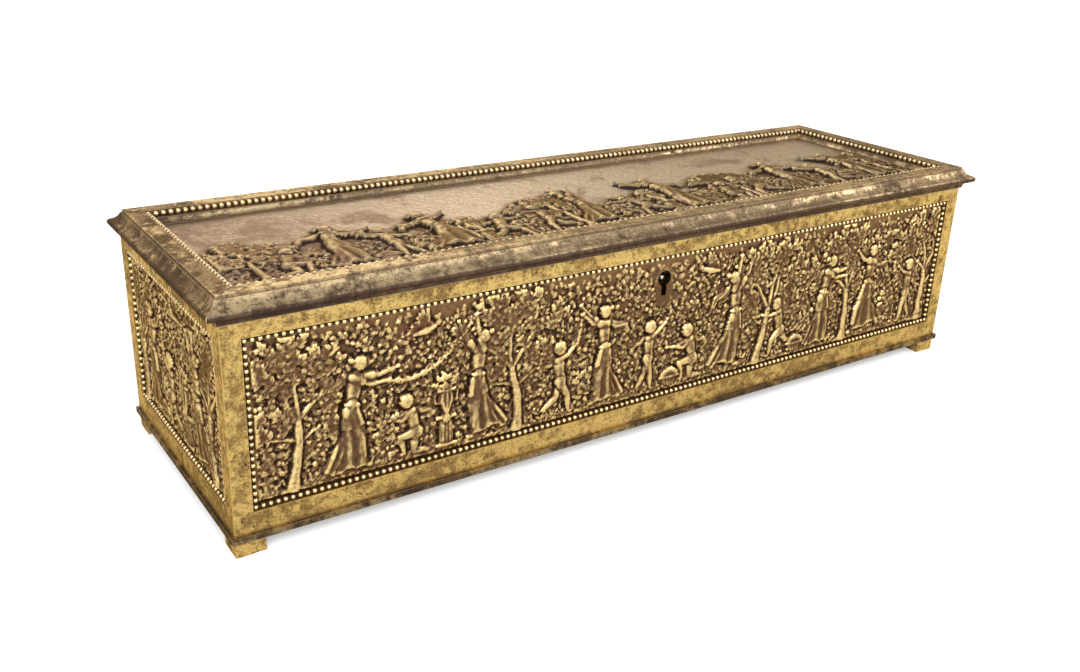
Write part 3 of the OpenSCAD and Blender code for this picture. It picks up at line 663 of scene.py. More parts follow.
    def urn(self, foot: Point, tall: float, lift: float) -> None:
        """Stands a fluted urn on a pedestal and fills it with flowers.

        Args:
            foot: Foot of the pedestal.
            tall: Height of pedestal and urn.
            lift: Height of their outline.
        """
        u, v = foot
        plinth, neck, belly, lip = (v + x * tall for x in (0.42, 0.5, 0.72, 0.86))
        self.plate.drape([(u, plinth), (u, v)], [0.1 * tall, 0.115 * tall], 4, 0, lift, 0.8, 0.3)
        for level, half in ((v + 0.02 * tall, 0.15), (plinth + 0.02 * tall, 0.14)):
            self.plate.limb([(u - half * tall, level), (u + half * tall, level)], [0.03 * tall] * 2, lift + 0.2, 0.9, 0.15)
        profile = [(u, plinth), (u, neck), (u, belly), (u, belly + 0.3 * (lip - belly)), (u, lip)]
        self.plate.drape(profile, [x * tall for x in (0.07, 0.035, 0.13, 0.125, 0.08)], 3.5, 0, lift, 1.3, 0.3)
        self.plate.limb([(u - 0.12 * tall, lip), (u + 0.12 * tall, lip)], [0.025 * tall] * 2, lift + 0.6, 0.9)
        for side in (-1, 1):
            ear = [(u + side * x * tall, v + y * tall) for x, y in ((0.1, 0.84), (0.18, 0.8), (0.17, 0.68), (0.11, 0.66))]
            self.plate.limb(ear, [0.018 * tall] * 4, lift, 0.9)
        self.leaves((u, v + 0.98 * tall), (0.16 * tall, 0.09 * tall), 22, 0.09 * tall, lift)
        for a in self.rng.uniform(0, 2 * np.pi, 9):
            at = (u + 0.13 * tall * math.cos(a) * self.rng.random(), v + (0.98 + 0.08 * math.sin(a)) * tall)
            self.plate.rosette(at, 0.045 * tall, 6, a, lift + 0.6, 0.5)

    def garland(self, a: Point, b: Point, sag: float, bloom: float = 0.8, lift: float = 0.7) -> None:
        """Hangs a garland between two hands: a parabola set with leaves and flowers in turn.

        Args:
            a: First hand.
            b: Second hand.
            sag: Depth of the parabola.
            bloom: Radius of a flower.
            lift: Height of the garland's edge.
        """
        count = max(5, round(math.dist(a, b) * 1.25 / (1.5 * bloom)))
        for k, t in enumerate(np.linspace(0, 1, count)):
            at = (a[0] + (b[0] - a[0]) * t, a[1] + (b[1] - a[1]) * t - 4 * sag * t * (1 - t))
            for turn in (60, 180, 300):
                self.plate.leaf(at, 1.7 * bloom, turn + 40 * k, 0.34, lift - 0.2, 0.35)
            self.plate.rosette(at, bloom * (1.0 if k % 2 else 0.7), 5, k, lift, 0.5)

    def bird(self, at: Point, size: float, facing: int = 1) -> None:
        """Sets a bird in flight: a body, a head and two spread wings of feathers."""
        u, v = at
        self.plate.limb([(u - facing * 0.5 * size, v - 0.1 * size), (u, v), (u + facing * 0.35 * size, v + 0.1 * size)],
                        [0.08 * size, 0.17 * size, 0.1 * size], 0.4, 0.9, 0.15)
        self.plate.blob((u + facing * 0.5 * size, v + 0.2 * size), (0.12 * size, 0.1 * size), 0, 0.5, 0.4)
        for k in range(5):
            self.plate.leaf((u, v), (0.95 - 0.09 * k) * size, 90 + facing * (14 * k - 6), 0.13, 0.45, 0.35)
            self.plate.leaf((u, v), (0.8 - 0.09 * k) * size, 90 - facing * (38 + 13 * k) + 130 * facing, 0.13, 0.35, 0.3)

    def basket(self, at: Point, size: float, lift: float = 0.6) -> None:
        """Sets a woven basket heaped with fruit."""
        u, v = at
        self.plate.drape([(u, v + 0.5 * size), (u, v)], [0.62 * size, 0.45 * size], 5, 3, lift, 0.7, 0.25)
        self.plate.limb([(u - 0.66 * size, v + 0.5 * size), (u + 0.66 * size, v + 0.5 * size)], [0.1 * size] * 2, lift + 0.3, 0.9)
        for k in range(7):
            x = (k - 3) / 3.4
            self.plate.blob((u + x * 0.55 * size, v + (0.85 - 0.25 * x * x) * size), (0.2 * size,) * 2, 0, lift + 0.3, 0.5, 0.1)


@dataclass(frozen=True)
class Role:
    """One figure of a frieze.

    Attributes:
        place: Its place as a share of half the window's length.
        size: Its height as a share of a grown figure's; a child's is under 0.8.
        facing: 1 to look right, -1 to look left.
        posture: Its pose.
    """

    place: float
    size: float
    facing: int
    posture: Posture


@dataclass(frozen=True)
class Frieze:
    """What one plate shows: its places are shares of half the window's length, its heights shares of the window's.

    Attributes:
        roles: The figures.
        trees: Place, height and lean in degrees of each tree.
        bushes: Place, height and half width of each bush.
        urns: Place and height of each urn.
        garlands: Pairs of figures whose near hands hold a garland.
        birds: Place, level over the middle, and side faced of each bird.
        baskets: Place of each basket.
        grown: Height of a grown figure in millimetres.
        soil: Depth of the soil.
        lift: Height of the figures' outlines.
        sky: Level up to which plants cover the ground, as a share of the window's height.
        density: Leaves per square millimetre of ground.
        step: Distance between the points of the height map.
        depth: Height at which the relief levels off.
        seed: Seed of all chance.
    """

    roles: tuple[Role, ...]
    trees: tuple[Triple, ...]
    bushes: tuple[Triple, ...]
    urns: tuple[Point, ...]
    garlands: tuple[tuple[int, int], ...] = ()
    birds: tuple[Triple, ...] = ()
    baskets: tuple[float, ...] = ()
    grown: float = 39.0
    soil: float = 4.0
    lift: float = 0.45
    sky: float = 0.93
    density: float = 0.5
    step: float = 0.42
    depth: float = 2.6
    seed: int = 11
    lip: float = 1.1

    def compose(self, width: float, height: float) -> ReliefField:
        """Composes the relief from back to front: soil, thicket, trees, urns, bushes, figures and grass.

        Args:
            width: Width of the plate in millimetres, with a lip hidden behind the frame on each side.
            height: Height of the plate.

        Returns:
            The finished height map.
        """
        plate = ReliefField(width, height, self.step, self.depth)
        yard = Gardener(plate, np.random.default_rng(self.seed))
        half, tall = width / 2 - self.lip, height - 2 * self.lip
        base = self.soil - tall / 2
        yard.ground(base + 0.6)
        yard.thicket(base, (self.sky - 0.5) * tall, self.density)
        for place, size, lean in self.trees:
            yard.tree((place * half, base), size * tall, lean, self.lift - 0.1)
        for place, size, wide in self.bushes:
            yard.bush((place * half, base), size * tall, wide * tall, self.lift - 0.15)
        for place, size in self.urns:
            yard.urn((place * half, base), size * tall, self.lift)
        hands = [self.figure(role, half, base).carve(plate)["near_hand"] for role in self.roles]
        for a, b in self.garlands:
            yard.garland(hands[a], hands[b], 0.2 * math.dist(hands[a], hands[b]), 0.02 * self.grown, self.lift + 0.3)
        for place, level, facing in self.birds:
            yard.bird((place * half, level * tall), 0.2 * self.grown, int(facing))
        for place in self.baskets:
            yard.basket((place * half, base), 0.15 * self.grown)
        yard.grass(3 - half, half - 3, base - 0.6, int(2.6 * half), 0.07 * self.grown)
        plate.finish(yard.rng)
        return plate

    def figure(self, role: Role, half: float, base: float) -> Figure:
        """Turns a role into a figure that stands on the soil: a grown one in a gown, a child in a scarf."""
        child = role.size < 0.8
        return Figure((role.place * half, base), role.size * self.grown, role.posture.value, role.facing,
                      Dress.BARE if child else Dress.GOWN, child, self.lift)


FRONT_FRIEZE = Frieze(
    roles=(Role(-0.79, 1, 1, Posture.OFFERING), Role(-0.645, 0.7, -1, Posture.KNEELING),
           Role(-0.5, 0.97, -1, Posture.REACHING), Role(-0.285, 0.73, 1, Posture.DANCING),
           Role(-0.165, 0.95, -1, Posture.PICKING), Role(-0.035, 0.7, 1, Posture.HOLDING),
           Role(0.105, 0.73, -1, Posture.KNEELING), Role(0.235, 1, 1, Posture.REACHING),
           Role(0.4, 0.7, -1, Posture.RUNNING), Role(0.545, 0.97, 1, Posture.OFFERING),
           Role(0.715, 1, -1, Posture.DANCING), Role(0.885, 0.72, -1, Posture.HOLDING)),
    trees=((-0.915, 0.92, 3), (-0.4, 0.95, -3), (0.32, 0.92, 3), (0.64, 0.9, -2), (0.95, 0.9, -3)),
    bushes=((-0.71, 0.3, 0.1), (-0.22, 0.3, 0.11), (0.48, 0.32, 0.11), (0.8, 0.3, 0.11)),
    urns=((-0.575, 0.42),), garlands=((0, 2), (3, 4), (9, 10)), birds=((-0.62, 0.33, 1), (0.14, 0.33, -1)),
    baskets=(0.035, 0.46), grown=41.0)

LID_FRIEZE = Frieze(
    roles=(Role(-0.865, 0.7, 1, Posture.KNEELING), Role(-0.73, 1, 1, Posture.OFFERING),
           Role(-0.61, 0.72, -1, Posture.HOLDING), Role(-0.47, 1, 1, Posture.DANCING),
           Role(-0.345, 0.72, 1, Posture.RUNNING), Role(-0.215, 0.72, -1, Posture.DANCING),
           Role(-0.075, 0.98, 1, Posture.REACHING), Role(0.065, 0.7, -1, Posture.RUNNING),
           Role(0.2, 1, -1, Posture.PICKING), Role(0.335, 0.7, 1, Posture.KNEELING),
           Role(0.45, 0.73, -1, Posture.RUNNING), Role(0.6, 1, 1, Posture.OFFERING),
           Role(0.73, 0.72, -1, Posture.DANCING), Role(0.865, 0.97, -1, Posture.HOLDING)),
    trees=((-0.93, 0.5, 3), (-0.15, 0.52, -2), (0.39, 0.5, 3), (0.94, 0.5, -3)),
    bushes=((-0.8, 0.22, 0.08), (-0.54, 0.2, 0.08), (-0.28, 0.22, 0.08), (0.0, 0.22, 0.09), (0.27, 0.22, 0.08),
            (0.53, 0.22, 0.08), (0.8, 0.2, 0.08)),
    urns=((-0.4, 0.34), (0.13, 0.34)), garlands=((1, 2), (4, 5), (11, 12)),
    baskets=(-0.66, 0.665), grown=42.0, soil=5.0, lift=0.8, sky=0.36, density=0.5, step=0.48, depth=3.3, seed=23)

LEFT_FRIEZE = Frieze(
    roles=(Role(-0.52, 1, 1, Posture.PICKING), Role(-0.12, 0.72, -1, Posture.DANCING),
           Role(0.5, 0.97, -1, Posture.REACHING)),
    trees=((-0.82, 0.92, 4), (0.8, 0.92, -4)), bushes=((-0.3, 0.3, 0.13), (0.7, 0.3, 0.12)),
    urns=((0.2, 0.45),), garlands=((0, 1),), birds=((0.1, 0.36, -1),), baskets=(-0.34,), grown=41.0, step=0.25, seed=5)

RIGHT_FRIEZE = Frieze(
    roles=(Role(-0.5, 0.97, 1, Posture.OFFERING), Role(0.12, 0.72, -1, Posture.HOLDING),
           Role(0.55, 1, -1, Posture.DANCING)),
    trees=((-0.82, 0.92, 3), (0.84, 0.92, -4)), bushes=((-0.2, 0.3, 0.12), (0.32, 0.3, 0.13)),
    urns=((-0.16, 0.42),), birds=((-0.1, 0.36, 1),), baskets=(0.33,), grown=41.0, step=0.25, seed=6)

BACK_FRIEZE = Frieze(
    roles=tuple(Role(place + side * 0.085, 0.73, -side, Posture.HOLDING)
                for place in (-0.7, -0.35, 0.0, 0.35, 0.7) for side in (-1, 1)),
    trees=tuple((place, 0.9, 0.0) for place in (-0.875, -0.525, -0.175, 0.175, 0.525, 0.875)),
    bushes=((-0.95, 0.26, 0.1), (0.95, 0.26, 0.1)), urns=tuple((place, 0.45) for place in (-0.7, -0.35, 0.0, 0.35, 0.7)),
    garlands=((0, 1), (2, 3), (4, 5), (6, 7), (8, 9)), grown=41.0, step=0.45, seed=37)


def new_mesh_object(name: str, verts: np.ndarray, quads: np.ndarray, tris: np.ndarray | None = None,
                    smooth: bool = True) -> bpy.types.Object:
    """Makes a mesh object at the origin from whole arrays.

    Args:
        name: Name of the piece.
        verts: Points in metres, one row each.
        quads: Four corners of each quad.
        tris: Three corners of each triangle.
        smooth: True for smooth shading.

    Returns:
        The new object, linked to the scene.
    """
    tris = np.empty((0, 3), int) if tris is None else tris
    mesh = bpy.data.meshes.new(name)
    mesh.vertices.add(len(verts))
    mesh.vertices.foreach_set("co", np.ascontiguousarray(verts, np.float32).ravel())
    corners = np.concatenate([quads.ravel(), tris.ravel()]).astype(np.int32)
    totals = np.concatenate([np.full(len(quads), 4), np.full(len(tris), 3)]).astype(np.int32)
    mesh.loops.add(len(corners))
    mesh.loops.foreach_set("vertex_index", corners)
    mesh.polygons.add(len(totals))
    mesh.polygons.foreach_set("loop_start", np.concatenate([[0], np.cumsum(totals)[:-1]]).astype(np.int32))
    mesh.polygons.foreach_set("use_smooth", np.full(len(totals), smooth))
    mesh.update(calc_edges=True)
    mesh.validate()
    piece = bpy.data.objects.new(name, mesh)
    bpy.context.scene.collection.objects.link(piece)
    return piece


def grid_quads(rows: int, cols: int, wrap_rows: bool = False, wrap_cols: bool = False) -> np.ndarray:
    """Corners of the quads of a grid whose point (i, j) has the number i cols + j.

    Args:
        rows: Number of rows.
        cols: Number of columns.
        wrap_rows: True if the last row joins the first.
        wrap_cols: True if the last column joins the first.

    Returns:
        One row of four numbers for each quad.
    """
    i, j = np.meshgrid(np.arange(rows - (not wrap_rows)), np.arange(cols - (not wrap_cols)), indexing="ij")
    i, j = i.ravel(), j.ravel()
    ni, nj = (i + 1) % rows, (j + 1) % cols
    return np.stack([i * cols + j, i * cols + nj, ni * cols + nj, ni * cols + j], 1)


@dataclass(frozen=True)
class Seat:
    """Where a flat design lies on the object.

    Attributes:
        middle: Its middle in the row frame, in metres.
        right: Direction of its u.
        up: Direction of its v.
    """

    middle: Triple
    right: Triple
    up: Triple

    @property
    def basis(self) -> np.ndarray:
        """Rows: right, up, and their cross product, which points outwards."""
        return np.array([self.right, self.up, np.cross(self.right, self.up)], float)

    def place(self, points: np.ndarray) -> np.ndarray:
        """Carries points (u, v, height) in millimetres to the row frame in metres."""
        return np.asarray(self.middle) + points @ self.basis * MM

    def flat(self, points: np.ndarray) -> np.ndarray:
        """Carries points of the row frame back to (u, v, height) in millimetres."""
        return (points - np.asarray(self.middle)) @ self.basis.T / MM


@dataclass
class ReliefPlate:
    """A cast relief plate that stands for a plain plate of the frame.

    Attributes:
        node: The plain plate that it replaces.
        body: The body that it rides on.
        right: Direction of the design's u.
        up: Direction of the design's v.
        design: Composes the relief for a width and a height.
        border: Bare margin of the plate, in millimetres.
        keyhole: Middle of the keyhole's round part, in the design's u and v, if it has one.
    """

    node: str
    body: str
    right: Triple
    up: Triple
    design: Callable[[float, float], ReliefField]
    border: float = 2.9
    keyhole: Point | None = None
    key_r: float = 2.8
    slot_w: float = 2.2
    slot_l: float = 6.1

    def seat(self) -> tuple[Seat, float, float, float]:
        """Reads the plain plate's box.

        Returns:
            The seat on the middle of its outer face, and its width, height and thickness in millimetres.
        """
        lo, hi = (np.array(corner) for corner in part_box(self.node))
        axes = np.array([self.right, self.up, np.cross(self.right, self.up)], float)
        size = np.abs(axes) @ (hi - lo)
        middle = (lo + hi) / 2 + axes[2] * size[2] / 2
        return Seat(tuple(middle), self.right, self.up), *(size / MM)

    def faded(self, relief: ReliefField) -> ReliefField:
        """Fades the relief out towards the margin and levels it round the keyhole.

        The share kept is the distance to the plate's edge less the margin, over 0.8 mm, held between 0 and 1.

        Args:
            relief: The composed relief.

        Returns:
            The same relief, changed.
        """
        gap_u = relief.width / 2 - np.abs(relief.u)[None, :]
        gap_v = relief.height / 2 - np.abs(relief.v)[:, None]
        relief.z *= np.clip((np.minimum(gap_u, gap_v) - self.border) / 0.8, 0, 1)
        if self.keyhole:
            du, dv = relief.u[None, :] - self.keyhole[0], relief.v[:, None] - self.keyhole[1]
            near = np.hypot(du, np.clip(np.abs(dv + self.slot_l / 2) - self.slot_l / 2, 0, None)) - self.key_r
            share = np.clip((near - 0.5) / 1.2, 0, 1)
            relief.z = 0.35 + (relief.z - 0.35) * share
        return relief

    def keyhole_cutter(self, seat: Seat) -> bpy.types.Object:
        """Makes the prism that cuts the keyhole: a circle with a slot below, through the whole plate."""
        u, v = self.keyhole
        first = -math.acos(self.slot_w / 2 / self.key_r)
        turn = np.linspace(first, math.pi - first, 40)
        arc = np.stack([u + self.key_r * np.cos(turn), v + self.key_r * np.sin(turn)], 1)
        foot = np.array([[u - self.slot_w / 2, v - self.slot_l], [u + self.slot_w / 2, v - self.slot_l]])
        outline = np.vstack([arc, foot])
        n = len(outline)
        levels = [np.column_stack([outline, np.full(n, h)]) for h in (-8.0, 4.0)]
        verts = np.vstack([*levels, [[u, v, -8.0], [u, v, 4.0]]])
        k = np.arange(n)
        nxt = (k + 1) % n
        sides = np.stack([k, nxt, n + nxt, n + k], 1)
        caps = np.vstack([np.stack([nxt, k, np.full(n, 2 * n)], 1), np.stack([n + k, n + nxt, np.full(n, 2 * n + 1)], 1)])
        return new_mesh_object("keyhole_cutter", seat.place(verts), sides, caps, False)

    def build(self) -> bpy.types.Object:
        """Makes the closed plate: the relief on top, four side walls, and a fan of triangles behind.

        Returns:
            The plate, with the attributes hollow and rise on its points.
        """
        seat, width, height, thick = self.seat()
        relief = self.faded(self.design(width, height))
        rows, cols = relief.z.shape
        u, v = np.meshgrid(relief.u, relief.v)
        top = np.stack([u.ravel(), v.ravel(), relief.z.ravel()], 1)
        index = np.arange(rows * cols).reshape(rows, cols)
        rim = np.concatenate([index[0, :-1], index[:-1, -1], index[-1, :0:-1], index[:0:-1, 0]])
        back = top[rim] * [1, 1, 0] - [0, 0, thick]
        n = len(rim)
        k = np.arange(n)
        nxt = (k + 1) % n
        walls = np.stack([rim[k], len(top) + k, len(top) + nxt, rim[nxt]], 1)
        fan = np.stack([len(top) + nxt, len(top) + k, np.full(n, len(top) + n)], 1)
        verts = np.vstack([top, back, [[0, 0, -thick]]])
        plate = new_mesh_object(self.node + "_relief", seat.place(verts), np.vstack([grid_quads(rows, cols), walls]), fan)
        if self.keyhole:
            self.pierce(plate, seat)
        self.mark(plate, seat, relief)
        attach(plate, self.body)
        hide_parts(self.node)
        LOG.info("%s: %d faces, up to %.2f mm high", plate.name, len(plate.data.polygons), relief.z.max())
        return plate

    def pierce(self, plate: bpy.types.Object, seat: Seat) -> None:
        """Cuts the keyhole through the plate and keeps the cut's edges sharp."""
        cutter = self.keyhole_cutter(seat)
        cut = plate.modifiers.new("keyhole", "BOOLEAN")
        cut.operation, cut.object, cut.solver = "DIFFERENCE", cutter, "EXACT"
        done = bpy.data.meshes.new_from_object(plate.evaluated_get(bpy.context.evaluated_depsgraph_get()))
        plate.modifiers.clear()
        plate.data = done
        bpy.data.objects.remove(cutter)

    def mark(self, plate: bpy.types.Object, seat: Seat, relief: ReliefField) -> None:
        """Writes how hollow, how high and how crowded the relief is at each point, read off its maps by bilinear weights."""
        where = np.empty(len(plate.data.vertices) * 3, np.float32)
        plate.data.vertices.foreach_get("co", where)
        flat = seat.flat(where.reshape(-1, 3).astype(float))
        i = np.clip((flat[:, 1] - relief.v[0]) / (relief.v[1] - relief.v[0]), 0, len(relief.v) - 1.001)
        j = np.clip((flat[:, 0] - relief.u[0]) / (relief.u[1] - relief.u[0]), 0, len(relief.u) - 1.001)
        i0, j0 = i.astype(int), j.astype(int)
        di, dj = i - i0, j - j0
        maps = {"hollow": relief.hollow(0.8), "rise": relief.z, "crowd": relief.hollow(3.5) + relief.z}
        for name, values in maps.items():
            low = values[i0, j0] * (1 - dj) + values[i0, j0 + 1] * dj
            high = values[i0 + 1, j0] * (1 - dj) + values[i0 + 1, j0 + 1] * dj
            layer = plate.data.attributes.new(name, "FLOAT", "POINT")
            layer.data.foreach_set("value", (low * (1 - di) + high * di).astype(np.float32))


@dataclass
class PearlBorder:
    """A closed border of pearls on a thin wire that stands for the plain one of the frame.

    Attributes:
        node: The plain border that it replaces.
        body: The body that it rides on.
        right: Direction of the border's length.
        up: Direction of its other side.
        radius: Radius of a pearl, in millimetres.
        pitch: Spacing of the pearls, in millimetres.
        wire: Radius of the wire as a share of the pearls'.
        segments: Faces round a pearl.
        rings: Faces from pole to pole.
    """

    node: str
    body: str
    right: Triple
    up: Triple
    radius: float = 0.78
    pitch: float = 2.25
    wire: float = 0.5
    segments: int = 10
    rings: int = 6
    seed: int = 3

    def centres(self, length: float, depth: float) -> np.ndarray:
        """Places of the pearls' middles along the four sides of a rectangle, evenly spaced, each corner once."""
        along, across = round(length / self.pitch), round(depth / self.pitch)
        x = np.linspace(-length / 2, length / 2, along + 1)
        y = np.linspace(-depth / 2, depth / 2, across + 1)
        low = np.stack([x[:-1], np.full(along, y[0])], 1)
        right = np.stack([np.full(across, x[-1]), y[:-1]], 1)
        return np.vstack([low, right, -low, -right])

    def pearl(self) -> tuple[np.ndarray, np.ndarray, np.ndarray]:
        """A unit ball: rings of points sin(a) cos(b), sin(a) sin(b), cos(a), and a point at each pole.

        Returns:
            Its points, quads and triangles.
        """
        a = np.linspace(0, np.pi, self.rings + 1)[1:-1, None]
        b = np.linspace(0, 2 * np.pi, self.segments, endpoint=False)[None, :]
        ball = np.stack([np.sin(a) * np.cos(b), np.sin(a) * np.sin(b), np.cos(a) * np.ones_like(b)], -1).reshape(-1, 3)
        n, last = self.segments, (self.rings - 2) * self.segments
        k = np.arange(n)
        nxt = (k + 1) % n
        top, sole = len(ball), len(ball) + 1
        tris = np.vstack([np.stack([np.full(n, top), k, nxt], 1), np.stack([np.full(n, sole), last + nxt, last + k], 1)])
        return np.vstack([ball, [[0, 0, 1], [0, 0, -1]]]), grid_quads(self.rings - 1, n, wrap_cols=True)[:, ::-1], tris

    def build(self) -> bpy.types.Object:
        """Copies the pearl to every place with a little chance in its size, and runs the wire through them."""
        lo, hi = (np.array(corner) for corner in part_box(self.node))
        axes = np.array([self.right, self.up, np.cross(self.right, self.up)], float)
        seat = Seat(tuple((lo + hi) / 2), self.right, self.up)
        length, depth = (np.abs(axes) @ (hi - lo))[:2] / MM - 2 * self.radius
        spots = self.centres(length, depth)
        rng = np.random.default_rng(self.seed)
        ball, quads, tris = self.pearl()
        size = self.radius * rng.uniform(0.93, 1.0, (len(spots), 1, 3))
        verts = ball[None] * size + np.column_stack([spots, np.zeros(len(spots))])[:, None]
        shift = np.arange(len(spots))[:, None, None] * len(ball)
        rod, rod_quads, rod_tris = self.rods(length, depth)
        base = len(spots) * len(ball)
        piece = new_mesh_object(
            self.node + "_cast", seat.place(np.vstack([verts.reshape(-1, 3), rod])),
            np.vstack([(quads[None] + shift).reshape(-1, 4), rod_quads + base]),
            np.vstack([(tris[None] + shift).reshape(-1, 3), rod_tris + base]))
        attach(piece, self.body)
        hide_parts(self.node)
        LOG.info("%s: %d pearls", piece.name, len(spots))
        return piece

    def rods(self, length: float, depth: float) -> tuple[np.ndarray, np.ndarray, np.ndarray]:
        """Four straight hexagonal rods along the sides of the rectangle, with their ends closed."""
        r = self.wire * self.radius
        turn = np.arange(6) * np.pi / 3
        ring = np.stack([np.zeros(6), r * np.cos(turn), r * np.sin(turn)], 1)
        parts = []
        for size, off, flip in ((length, depth / 2, 0), (length, -depth / 2, 0), (depth, length / 2, 1), (depth, -length / 2, 1)):
            rod = np.vstack([ring + [-size / 2, off, 0], ring + [size / 2, off, 0]])
            parts.append(rod[:, [1, 0, 2]] * [1, 1, -1] if flip else rod)
        k = np.arange(6)
        nxt = (k + 1) % 6
        quads = np.stack([k, nxt, 6 + nxt, 6 + k], 1)
        caps = np.array([[0, 2, 1], [0, 3, 2], [0, 4, 3], [0, 5, 4], [6, 7, 8], [6, 8, 9], [6, 9, 10], [6, 10, 11]])
        shift = 12 * np.arange(4)[:, None, None]
        return np.vstack(parts), (quads[None] + shift).reshape(-1, 4)[:, ::-1], (caps[None] + shift).reshape(-1, 3)[:, ::-1]

    def crown(self, piece: bpy.types.Object) -> bpy.types.Object:
        """Writes how far each point stands off the wire: 0 on the wire, 1 on the outer part of a pearl.

        The share is the distance from the wire's axis less the wire's radius, over half the radii's difference.

        Args:
            piece: The border.

        Returns:
            The border.
        """
        lo, hi = (np.array(corner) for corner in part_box(self.node))
        seat = Seat(tuple((lo + hi) / 2), self.right, self.up)
        size = np.abs(seat.basis) @ (hi - lo) / MM
        where = np.empty(len(piece.data.vertices) * 3, np.float32)
        piece.data.vertices.foreach_get("co", where)
        flat = seat.flat(where.reshape(-1, 3).astype(float))
        over = np.abs(flat[:, :2]) - (size[:2] / 2 - self.radius)
        aside = np.hypot(*np.clip(over, 0, None).T) + np.clip(over.max(axis=1), None, 0)
        away = np.hypot(aside, flat[:, 2] - (size[2] / 2 - self.radius))
        rod = self.wire * self.radius
        share = (away - rod - 0.02) / (0.5 * (self.radius - rod))
        layer = piece.data.attributes.new("crown", "FLOAT", "POINT")
        layer.data.foreach_set("value", np.clip(share, 0, 1).astype(np.float32))
        return piece


@dataclass
class VelvetPad:
    """An upholstered pad, crowned and drawn in between its corners, that stands for a plain one.

    Attributes:
        node: The plain pad that it replaces.
        body: The body that it rides on.
        under: True for a pad that hangs under the lid.
        fill: How tight it is, from 0 to 1; not used.
    """

    node: str
    body: str
    under: bool = False
    fill: float = 0.7
    rows: int = 90
    cols: int = 260
    draw: float = 0.9
    edge: float = 1.2

    def build(self) -> bpy.types.Object:
        """Makes the pad from a squared-off disc.

        A ring of the superellipse |x|^9 + |y|^9 = 1 is carried inwards, its height rising from the rolled edge to the
        crown as 1 - (1 - t)^2.2, with shallow dimples where the cloth pulls.

        Returns:
            The pad.
        """
        lo, hi = (np.array(corner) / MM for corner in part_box(self.node))
        half, tall = (hi - lo)[:2] / 2, hi[2] - lo[2]
        turn = np.linspace(0, 2 * np.pi, self.cols, endpoint=False)[None, :]
        c, s = np.cos(turn), np.sin(turn)
        k = (np.abs(c) ** 9 + np.abs(s) ** 9) ** (-1 / 9)
        x, y = c * k, s * k
        t = np.linspace(0, 1, self.rows)[:, None]
        roll = np.clip(t / 0.1, 0, 1)
        share = np.where(t < 0.1, 0.985 + 0.015 * np.sin(np.pi * roll), 1 - (t - 0.1) / 0.9 * 0.985)
        inner = 1 - half[1] / half[0]
        px = half[0] * x * (inner + (1 - inner) * share) - self.draw * np.sign(x) * (1 - y ** 4)
        py = y * share * (half[1] - self.draw * (1 - x ** 4))
        rise = np.where(t < 0.1, self.edge * (1 - np.cos(np.pi / 2 * roll)), 0)
        crown = self.edge + (tall - self.edge) * (1 - (1 - np.clip((t - 0.1) / 0.9, 0, 1)) ** 2.2)
        pz = np.where(t < 0.1, rise, crown) - 0.05 * np.sin(px / 9) * np.sin(py / 7) * np.clip(t * 3, 0, 1)
        pz = np.minimum(pz, tall - 0.01)
        ring = np.stack([px + 0 * t, py, pz + 0 * x], -1).reshape(-1, 3)
        n, last = self.cols, (self.rows - 1) * self.cols
        j = np.arange(n)
        nxt = (j + 1) % n
        top, sole = len(ring), len(ring) + 1
        tris = np.vstack([np.stack([last + j, last + nxt, np.full(n, top)], 1), np.stack([nxt, j, np.full(n, sole)], 1)])
        verts = np.vstack([ring, [[0, 0, tall - 0.01], [0, 0, 0]]])
        quads = grid_quads(self.rows, n, wrap_cols=True)
        if self.under:
            verts = verts * [1, -1, -1]
        middle = np.array([(lo[0] + hi[0]) / 2, (lo[1] + hi[1]) / 2, hi[2] if self.under else lo[2]])
        pad = new_mesh_object(self.node + "_velvet", (verts + middle) * MM, quads, tris)
        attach(pad, self.body)
        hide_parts(self.node)
        LOG.info("%s: %.1f x %.1f x %.1f mm", pad.name, 2 * half[0], 2 * half[1], tall)
        return pad


EDGE_TINT = (0.78, 0.62, 0.44)


